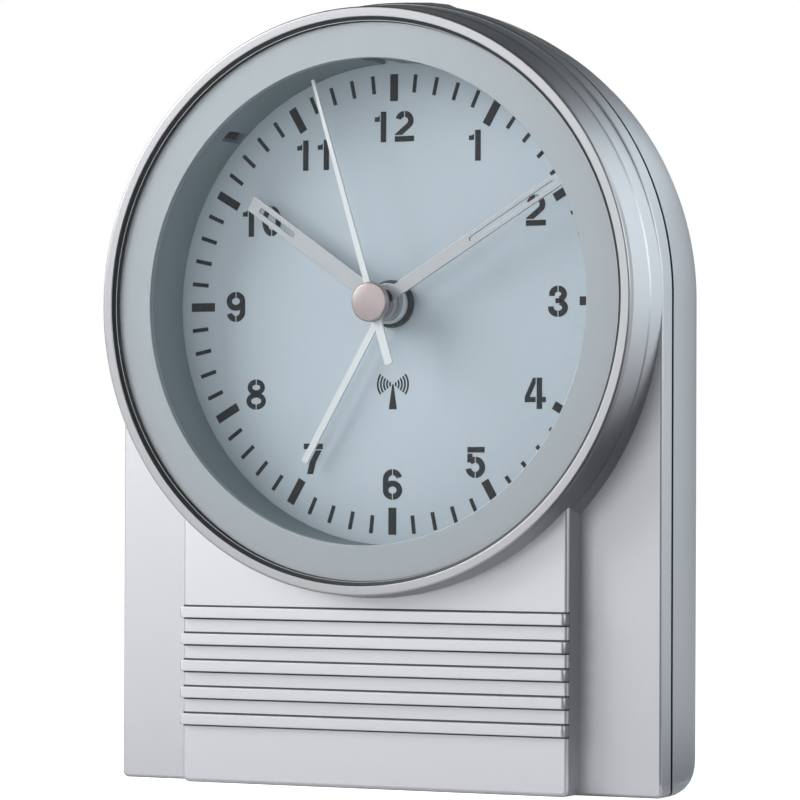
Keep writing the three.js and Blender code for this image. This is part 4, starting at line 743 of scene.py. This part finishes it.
# %% Figures
def figure_0(bm):
    add_loop(bm, (0, 0.5), (0.35, 0.5))


def figure_1(bm):
    add_bar(bm, -0.1, 0.1, 0, 1)
    add_patch(bm, [(-0.1 - SLIT, 0.675), (-0.1 - SLIT, 0.885), (-0.2, 0.83), (-0.32, 0.82), (-0.32, 0.675)])


def figure_2(bm):
    add_bow(bm, (0, 0.685), (0.33, 0.315), -35, 90)
    add_bow(bm, (0, 0.685), (0.33, 0.315), 90, 165)
    add_patch(bm, [(0.115, 0.613), (-0.345, 0.25), (-0.35, 0.22), (-0.075, 0.22), (0.27, 0.504)])
    add_bar(bm, -0.35, 0.35, 0, 0.185)


def figure_3(bm):
    add_bow(bm, (0, 0.73), (0.31, 0.27), -75, 90)
    add_bow(bm, (0, 0.73), (0.31, 0.27), 90, 180)
    add_bar(bm, -0.31, STROKE - 0.31, 0.67, 0.73)
    add_bow(bm, (0, 0.29), (0.345, 0.29), -90, 75)
    add_bow(bm, (0, 0.29), (0.345, 0.29), 180, 270)
    add_bar(bm, -0.345, STROKE - 0.345, 0.29, 0.34)
    add_bar(bm, -0.09, 0.12, 0.44, 0.6)


def figure_4(bm):
    add_bar(bm, 0.05, 0.24, 0, 1)
    add_bar(bm, 0.24, 0.37, 0.215, 0.385)
    side = 0.05 - SLIT
    add_patch(bm, [(side, 1), (-0.08, 1), (-0.37, 0.385), (-0.37, 0.215), (side, 0.215), (side, 0.385),
                   (-0.19, 0.385), (side, 0.82)])


def figure_5(bm):
    add_bar(bm, -0.28, 0.33, 0.82, 1)
    add_bar(bm, -0.28, -0.1, 0.5, 0.82 - SLIT)
    for start, end in ((-90, 90), (190, 270), (90, 140)):
        add_bow(bm, (0, 0.345), (0.345, 0.345), start, end)


def figure_6(bm):
    add_loop(bm, (0, 0.315), (0.35, 0.315))
    add_bar(bm, -0.35, STROKE - 0.35, 0.315, 0.66)
    add_bow(bm, (0, 0.66), (0.35, 0.34), 90, 180)
    add_bow(bm, (0, 0.66), (0.35, 0.34), 15, 90)
    add_bar(bm, -SLIT, SLIT, 0.44, 0.62)


def figure_7(bm):
    add_bar(bm, -0.35, 0.35, 0.815, 1)
    top = 0.815 - SLIT
    add_patch(bm, [(0.31, top), (0.09, top), (-0.13, 0.4), (-0.23, 0), (0, 0), (0.1, 0.4)])


def figure_8(bm):
    add_loop(bm, (0, 0.735), (0.325, 0.265), EIGHT_STROKE)
    add_loop(bm, (0, 0.285), (0.365, 0.285), EIGHT_STROKE)
    add_bar(bm, -SLIT, SLIT, 0.4, 0.64)


def figure_9(bm):
    before = set(bm.verts)
    figure_6(bm)
    half_turn = Matrix.Rotation(math.pi, 3, "Y")
    bmesh.ops.rotate(bm, cent=(0, 0, 0.5), matrix=half_turn, verts=added(bm.verts, before))


FIGURES = [figure_0, figure_1, figure_2, figure_3, figure_4,
           figure_5, figure_6, figure_7, figure_8, figure_9]
print(len(FIGURES), "figures drawn on a unit grid")

# %% [markdown]
# ## Setting the figures on the dial
# The figures stand upright at every hour, centred on a circle just inside the ticks. Ten, eleven and
# twelve are set from two figures. The finished faces are pushed to the thickness of the ink.

# %% Hour figures
FIGURE_RADIUS = 30.15
FIGURE_HEIGHT = 5.15
HOUR_INSET = {5: -0.4, 7: 0.25, 8: 0.2, 9: 0.2, 10: 1.2, 11: 0.8, 12: 0.4}  # towards the centre
LONE_ONE_ASIDE = 0.09  # a lone 1 is centred with its flag
FIGURE_SPREAD = 0.38  # half the step between the two figures of a pair, in figure heights

figures_bm = bmesh.new()
for hour in range(1, 13):
    digits = [int(digit) for digit in str(hour)]
    angle = math.radians(30 * hour)
    radius = FIGURE_RADIUS - HOUR_INSET.get(hour, 0)
    spot = Vector((radius * math.sin(angle), INK_FRONT, DIAL_Z + radius * math.cos(angle)))
    for position, digit in enumerate(digits):
        before = set(figures_bm.verts)
        FIGURES[digit](figures_bm)
        verts = added(figures_bm.verts, before)
        aside = (position - (len(digits) - 1) / 2) * 2 * FIGURE_SPREAD
        aside += LONE_ONE_ASIDE if hour == 1 else 0
        bmesh.ops.translate(figures_bm, vec=(aside, 0, -0.5), verts=verts)
        bmesh.ops.scale(figures_bm, vec=(FIGURE_HEIGHT, 1, FIGURE_HEIGHT), verts=verts)
        bmesh.ops.translate(figures_bm, vec=spot, verts=verts)
push(figures_bm, figures_bm.faces[:], INK)
make_piece("dial_figures", figures_bm, dial_ink)

# %% [markdown]
# ## The radio sign
# A small mast with waves on both sides is printed over the six. It is the common sign for a clock
# that sets itself by radio. The mast is one tapered face and the waves are thin bows.

# %% Radio sign
MAST_TOP = 13.4  # under the dial centre
MAST_HEIGHT = 4.2
MAST_FOOT, MAST_TIP = 0.75, 0.12  # half widths
WAVE_COUNT = 5
WAVE_FIRST, WAVE_STEP = 0.55, 0.57
WAVE_STROKE = 0.29
WAVE_SPREAD = 36  # degrees to each side

sign_bm = bmesh.new()
add_patch(sign_bm, [(-MAST_FOOT, -MAST_HEIGHT), (MAST_FOOT, -MAST_HEIGHT), (MAST_TIP, 0), (-MAST_TIP, 0)])
for wave in range(WAVE_COUNT):
    radius = WAVE_FIRST + wave * WAVE_STEP + WAVE_STROKE / 2
    for side in (0, 180):
        add_bow(sign_bm, (0, 0), (radius, radius), side - WAVE_SPREAD, side + WAVE_SPREAD, WAVE_STROKE)
bmesh.ops.translate(sign_bm, vec=(0, INK_FRONT, DIAL_Z - MAST_TOP), verts=sign_bm.verts)
push(sign_bm, sign_bm.faces[:], INK)
make_piece("radio_sign", sign_bm, dial_ink)

# %% [markdown]
# ## The hands
# Four hands turn on nested pipes. Each is a stamped blade with a collar pressed on its pipe. The hour
# and minute blades have a long open slot. A blade is drawn pointing to twelve, its slot is spun from
# two vertices, and the finished piece is turned to the time on the photograph.

# %% Hand helpers
HAND_THICKNESS = 0.4
HAND_EDGE = 0.06
COLLAR_EDGE = 0.18
SLOT_STEPS = 10


def add_blade(bm, outline, slot_ends=None, slot_width=0.0):
    """A flat blade on Y = 0 from (x, z) corners, with a round-ended slot if asked."""
    before = set(bm.edges)
    add_chain(bm, [(x, 0, z) for x, z in outline], closed=True)
    if slot_ends:
        half = slot_width / 2
        low, high = slot_ends
        for z, start in ((high, half), (low, -half)):
            vert = bm.verts.new((start, 0, z))
            spin_point(bm, vert, (0, 0, z), 180, SLOT_STEPS)
        for x in (half, -half):
            bm.edges.new([vert for vert in bm.verts if abs(vert.co.x - x) < NEAR
                          and min(abs(vert.co.z - low), abs(vert.co.z - high)) < NEAR])
    bmesh.ops.triangle_fill(bm, use_beauty=True, use_dissolve=True, edges=added(bm.edges, before))


def finish_blade(bm, front):
    """Gives the blade its thickness and breaks the edges of its front."""
    tops = set(push(bm, bm.faces[:], -HAND_THICKNESS))
    bmesh.ops.recalc_face_normals(bm, faces=bm.faces)
    edges = [edge for edge in bm.edges
             if all(vert in tops for vert in edge.verts) and by_a_wall(edge)]
    soften(bm, edges, HAND_EDGE, 2)
    bmesh.ops.translate(bm, vec=(0, front + HAND_THICKNESS, 0), verts=bm.verts)


def add_collar(bm, radius, bore, front, back, edge=COLLAR_EDGE):
    add_turned(bm, [(bore, front), (radius, front), (radius, back), (bore, back)], steps=SMALL_STEPS)
    soften(bm, rim(bm, radius, front) + rim(bm, radius, back), edge)


def make_hand(name, node, angle, blade, radius, bore, material):
    """A blade turned to its angle, with a collar as deep as the CAD hand. Node and body share a name."""
    low, high = case_box(node)
    blade_bm = bmesh.new()
    add_blade(blade_bm, **blade)
    finish_blade(blade_bm, low.y)
    bmesh.ops.transform(blade_bm, matrix=clock_turn(angle), verts=blade_bm.verts)
    add_collar(blade_bm, radius, bore, low.y, high.y)
    make_piece(name, blade_bm, material, [node], node)


# %% Hands
HOUR_ANGLE, MINUTE_ANGLE, SECOND_ANGLE, ALARM_ANGLE = 304.8, 59.0, 343.1, 210.0


def plain_blade(length, width):
    half = width / 2
    return {"outline": [(-half, 0), (half, 0), (half, length), (-half, length)]}


def slotted_blade(length, width, slot_length, slot_width, slot_to_tip):
    high = length - slot_to_tip - slot_width / 2
    low = high - slot_length + slot_width
    return {**plain_blade(length, width), "slot_ends": (low, high), "slot_width": slot_width}


def tapered_blade(length, root, root_height, tip, tail, tail_width, corner):
    half = tail_width / 2
    return {"outline": [
        (-half, 0), (-half, corner - tail), (corner - half, -tail), (half - corner, -tail),
        (half, corner - tail), (half, 0), (root / 2, root_height), (tip / 2, length),
        (-tip / 2, length), (-root / 2, root_height),
    ]}


hour_blade = slotted_blade(length=30.5, width=2.7, slot_length=8.2, slot_width=0.9, slot_to_tip=2.1)
minute_blade = slotted_blade(length=38.3, width=2.2, slot_length=17.8, slot_width=0.8, slot_to_tip=1.0)
second_blade = tapered_blade(length=39.0, root=1.2, root_height=0.6, tip=0.55, tail=10.8, tail_width=1.5,
                             corner=0.3)
alarm_blade = plain_blade(length=30.6, width=1.2)
# name, node, angle, blade, collar radius, collar bore, finish
make_hand("hour_blade", "hour_hand", HOUR_ANGLE, hour_blade, 3.2, 1.5, hand_silver)
make_hand("minute_blade", "minute_hand", MINUTE_ANGLE, minute_blade, 3.0, 0.9, hand_silver)
make_hand("second_blade", "second_hand", SECOND_ANGLE, second_blade, 2.2, 0.5, white_hand_paint)
make_hand("alarm_blade", "alarm_hand", ALARM_ANGLE, alarm_blade, 3.4, 2.1, white_hand_paint)

# %% [markdown]
# ## The cap and the hub ring
# A nickel cap closes the stack of hands. It is turned metal with a flat face and a bright bevel. At
# the other end a black ring hides the hole in the dial.

# %% Hand cap
cap_low, cap_high = case_box("hand_cap")
CAP_RADIUS = (cap_high.x - cap_low.x) / 2
CAP_BEVEL = 0.35
cap_bm = bmesh.new()
add_turned(cap_bm, [
    (0, cap_low.y),
    (CAP_RADIUS, cap_low.y),
    (CAP_RADIUS, cap_high.y),
    (0, cap_high.y),
], steps=SMALL_STEPS * 2, closed=False)
soften(cap_bm, rim(cap_bm, CAP_RADIUS, cap_low.y), CAP_BEVEL)
make_piece("cap", cap_bm, cap_nickel, ["hand_cap"], "second_hand")

# %% Hub ring
hub_low, hub_high = case_box("hub_ring")
HUB_RADIUS = (hub_high.x - hub_low.x) / 2
HUB_WALL = 0.6
HUB_EDGE = 0.12
hub_bm = bmesh.new()
add_collar(hub_bm, HUB_RADIUS, HUB_RADIUS - HUB_WALL, hub_low.y, hub_high.y, HUB_EDGE)
make_piece("hub_collar", hub_bm, black_plastic, ["hub_ring"])

# %% [markdown]
# ## The rear housing and its controls
# The back is a rounded shell with a knob, three buttons, a slide switch, sound slots and a battery
# door. These shapes come straight from the CAD. Merged copies get softened edges, because a moulded
# edge always has a small radius that catches the light. The shell's arch comes as short flats, so
# they are split and the new points are lifted to the curve. Its flat back gets a narrow border, so
# that the rounding beside it does not bend the shading of the flat.

# %% Rear shell
REAR_RIM = 3.7  # where the CAD's rear shell begins
ARCH_CUTS = 3
ARCH_SAG = 0.3  # a flat's middle lies less than this under the curve
BORE_REACH = 30  # circles within this reach are holes, not the arch
INSIDE = 0.001  # lifted points stay this far inside the CAD's curve
BACK_BORDER = 0.15


def arch_reach(vert):
    return math.hypot(vert.co.x, vert.co.z - ARCH_Z)


def shape_rear(bm):
    """Moves the rim back to the seam, rounds off the arch and borders the flat back."""
    rim_verts = [vert for vert in bm.verts if abs(vert.co.y - REAR_RIM) < 2 * NEAR]
    bmesh.ops.translate(bm, vec=(0, SEAM_BACK - REAR_RIM, 0), verts=rim_verts)
    arch_radius = {}
    for vert in bm.verts:
        depth = round(vert.co.y, 2)
        if vert.co.z > ARCH_Z - NEAR:
            arch_radius[depth] = max(arch_radius.get(depth, 0), arch_reach(vert))
    flats = [edge for edge in bm.edges
             if all(vert.co.z > ARCH_Z - NEAR for vert in edge.verts)
             and all(arch_radius[round(vert.co.y, 2)] - arch_reach(vert) < NEAR for vert in edge.verts)
             and abs(edge.verts[0].co.y - edge.verts[1].co.y) < NEAR
             and arch_reach(edge.verts[0]) > BORE_REACH]
    before = set(bm.verts)
    bmesh.ops.subdivide_edges(bm, edges=flats, cuts=ARCH_CUTS, use_grid_fill=True)
    for vert in added(bm.verts, before):
        radius = arch_radius.get(round(vert.co.y, 2), 0)
        if 0 < radius - arch_reach(vert) < ARCH_SAG:
            growth = (radius - INSIDE) / arch_reach(vert)
            vert.co.x *= growth
            vert.co.z = ARCH_Z + growth * (vert.co.z - ARCH_Z)
    bm.normal_update()
    back = max(vert.co.y for vert in bm.verts)
    flat_back = [face for face in bm.faces
                 if face.normal.y > 0.9999 and all(vert.co.y > back - NEAR for vert in face.verts)]
    bmesh.ops.inset_region(bm, faces=flat_back, thickness=BACK_BORDER, use_boundary=True,
                           use_even_offset=True)
    print(len(rim_verts), "rim points moved,", len(flats), "flats split,", len(flat_back), "faces bordered")


# %% Back pieces
rear_shell = refined_copy("rear_housing", "rear_shell", silver_paint, crease=32,
                          change=shape_rear)
rim_depth = (to_frame @ Vector((0, SEAM_BACK, 0))).y
for edge in rear_shell.data.edges:
    ends = [rear_shell.data.vertices[end].co for end in edge.vertices]
    if all(abs(end.y - rim_depth) < NEAR / 1000 for end in ends):
        edge.use_edge_sharp = True  # no smoothing from the arch onto the rim
refined_copy("battery_door", "battery_cover", silver_paint, "battery_door", edge_width=0.2)
refined_copy("battery_cell", "battery", cell_wrap, edge_width=0.2)
refined_copy("snooze_button", "snooze_bar", control_plastic, "snooze_button",
             edge_width=0.3)
refined_copy("alarm_knob", "alarm_setting_knob", control_plastic, "alarm_knob", crease=25)
refined_copy("alarm_slider", "alarm_slide", control_plastic, "alarm_slider", edge_width=0.2)
for button in ("set_button", "reception_button", "reset_button"):
    refined_copy(button, button + "_top", button_plastic, button, edge_width=0.2)
for side in ("left", "right"):
    refined_copy("foot_" + side, "foot_pad_" + side, foot_rubber, edge_width=0.15)
    for level in ("low", "high"):
        node = f"case_screw_{level}_{side}"
        refined_copy(node, node + "_head", bright_steel, edge_width=0.12)

# %% [markdown]
# ## Everything else keeps its CAD shape
# The movement, the board and the aerial have the right shapes already. Each takes the finish of its
# slot in the record.

# %% Inner pieces
SLOT_FINISHES = {
    "silver_case": silver_paint, "bezel": plated_silver, "crystal": crystal_film, "dial_ring": ring_silver,
    "dial_wall": dark_wall_grey, "dial": dial_paint, "lamp": lamp_shaded_dark, "hands": hand_silver,
    "cap": cap_nickel, "black_plastic": black_plastic, "grey_button": button_plastic,
    "dark_control": control_plastic, "gear_plastic": gear_plastic, "movement_plastic": movement_plastic,
    "steel": bright_steel, "copper": copper_wire, "rotor": rotor_magnet, "board": board_lacquer,
    "ferrite": ferrite_grey, "buzzer": buzzer_disc, "cell": cell_wrap, "rubber": foot_rubber,
}
for subpart in frame["record"]["subparts"]:
    shown = frame["nodes"][subpart["node"]]
    shown.data.materials.clear()
    shown.data.materials.append(SLOT_FINISHES[subpart["material_slot"]])

# %% [markdown]
# ## Studio
# The clock stands on a pale floor in front of white. The floor is an ordinary matt surface that takes
# the clock's shadow, and it glows a little where it is seen directly, so that it reads as white
# without more light on the clock. The world does the same.

# %% Floor and world
FLOOR_REACH = 6  # from the clock to the floor's edge, in m
FLOOR_GLOW = 0.85
AMBIENT = 0.28


def stand_on_stage(name, bm, material, unseen_by=()):
    """Hands a mesh in frame metres to the stage, hidden from the named kinds of rays."""
    mesh = bpy.data.meshes.new(name)
    bm.to_mesh(mesh)
    bm.free()
    mesh.materials.append(material)
    piece = bpy.data.objects.new(name, mesh)
    for kind in unseen_by:
        setattr(piece, "visible_" + kind, False)
    scene.collection.objects.link(piece)


def seen_directly(tree):
    """1 for rays from the camera and through clear pieces, else 0."""
    path = tree.nodes.new("ShaderNodeLightPath")
    both = tree.nodes.new("ShaderNodeMath")
    both.operation = "MAXIMUM"
    tree.links.new(path.outputs["Is Camera Ray"], both.inputs[0])
    tree.links.new(path.outputs["Is Transmission Ray"], both.inputs[1])
    return both.outputs["Value"]


floor_finish = bpy.data.materials.new("pale_floor")
floor_finish.use_nodes = True
tree = floor_finish.node_tree
floor_shader = tree.nodes["Principled BSDF"]
set_inputs(floor_shader, {"Base Color": (0.8, 0.8, 0.8, 1), "Roughness": 0.9,
                          "Emission Color": (1, 1, 1, 1)})
glow = tree.nodes.new("ShaderNodeMath")
glow.operation = "MULTIPLY"
set_inputs(glow, {1: FLOOR_GLOW})
tree.links.new(seen_directly(tree), glow.inputs[0])
tree.links.new(glow.outputs["Value"], floor_shader.inputs["Emission Strength"])

floor_bm = bmesh.new()
bmesh.ops.create_grid(floor_bm, x_segments=1, y_segments=1, size=FLOOR_REACH)
stand_on_stage("floor", floor_bm, floor_finish)

world = bpy.data.worlds.new("studio")
world.use_nodes = True
scene.world = world
tree = world.node_tree
ambient = tree.nodes["Background"]
set_inputs(ambient, {"Color": (0.94, 0.97, 1, 1), "Strength": AMBIENT})
white = tree.nodes.new("ShaderNodeBackground")
set_inputs(white, {"Color": (1, 1, 1, 1)})
choice = tree.nodes.new("ShaderNodeMixShader")
tree.links.new(seen_directly(tree), choice.inputs["Fac"])
tree.links.new(ambient.outputs["Background"], choice.inputs[1])
tree.links.new(white.outputs["Background"], choice.inputs[2])
tree.links.new(choice.outputs["Shader"], tree.nodes["World Output"].inputs["Surface"])
print("floor and world made")

# %% [markdown]
# ## Dark cards
# Silver paint is a soft mirror: in an all-white room it would turn white and lose its shape. A
# photographer stands dark cards round such an object, out of the picture, so that its top, its
# underside and its far edge reflect something dark. The cards here are stage pieces that only
# reflections can see, so they take no light away.

# %% Cards
card_finish = bpy.data.materials.new("dark_card")
card_finish.use_nodes = True
set_inputs(card_finish.node_tree.nodes["Principled BSDF"],
           {"Base Color": (0.012, 0.018, 0.02, 1), "Roughness": 1.0, "Specular IOR Level": 0.0})
CLOCK_MIDDLE = Vector((0, 0, 0.07))


def turn_to(place, target):
    """The turn that points -Z from a place at a target."""
    return (Vector(target) - Vector(place)).to_track_quat("-Z", "Y")


def add_card(name, place, target, width, height):
    card_bm = bmesh.new()
    bmesh.ops.create_grid(card_bm, x_segments=1, y_segments=1, size=0.5)
    bmesh.ops.scale(card_bm, vec=(width, height, 1), verts=card_bm.verts)
    turn = turn_to(place, target).to_matrix().to_4x4()
    bmesh.ops.transform(card_bm, matrix=Matrix.Translation(place) @ turn, verts=card_bm.verts)
    stand_on_stage(name, card_bm, card_finish, ("camera", "diffuse", "shadow", "transmission"))
    print(name, "stands at", place)


# name, place, what it faces, width and height, in m
add_card("card_overhead", (-0.35, 0.15, 0.60), (-0.35, 0.15, 0), 1.4, 1.8)
add_card("card_right", (0.28, -0.54, 0.25), CLOCK_MIDDLE, 0.55, 0.8)
add_card("card_behind", (-0.36, 0.53, 0.40), CLOCK_MIDDLE, 1.0, 1.0)
add_card("card_floor", (0.45, -0.28, 0.002), (0.45, -0.28, -1), 0.8, 0.7)

# %% [markdown]
# ## Lights
# Five soft lamps stand round the clock. The key lamp at the front left makes the hands' shadows fall
# to the right, as on the photograph, and the front lamp lifts the plinth and the dial. A side lamp
# draws bright lines down the drum's right edge. Two cool lamps behind the clock light the far edge of
# the case.

# %% Lamps
def add_lamp(name, place, size, watts, tint=(1, 1, 1)):
    lamp = bpy.data.objects.new(name, bpy.data.lights.new(name, "AREA"))
    lamp.data.size = size
    lamp.data.energy = watts
    lamp.data.color = tint
    lamp.location = place
    lamp.rotation_mode = "QUATERNION"
    lamp.rotation_quaternion = turn_to(place, CLOCK_MIDDLE)
    scene.collection.objects.link(lamp)
    print(name, "gives", watts, "W")


COOL = (0.86, 0.96, 1)
# name, place and size in m, watts, tint
add_lamp("key_lamp", (-0.56, -0.39, 0.38), 0.45, 4.75)
add_lamp("front_lamp", (-0.16, -0.85, 0.22), 0.6, 1.9)
add_lamp("side_lamp", (0.82, -0.22, 0.32), 0.4, 2.4)
add_lamp("edge_lamp", (0.75, 0.62, 0.38), 0.9, 3.7, COOL)
add_lamp("back_lamp", (0.17, 0.85, 0.62), 0.5, 1.2, COOL)
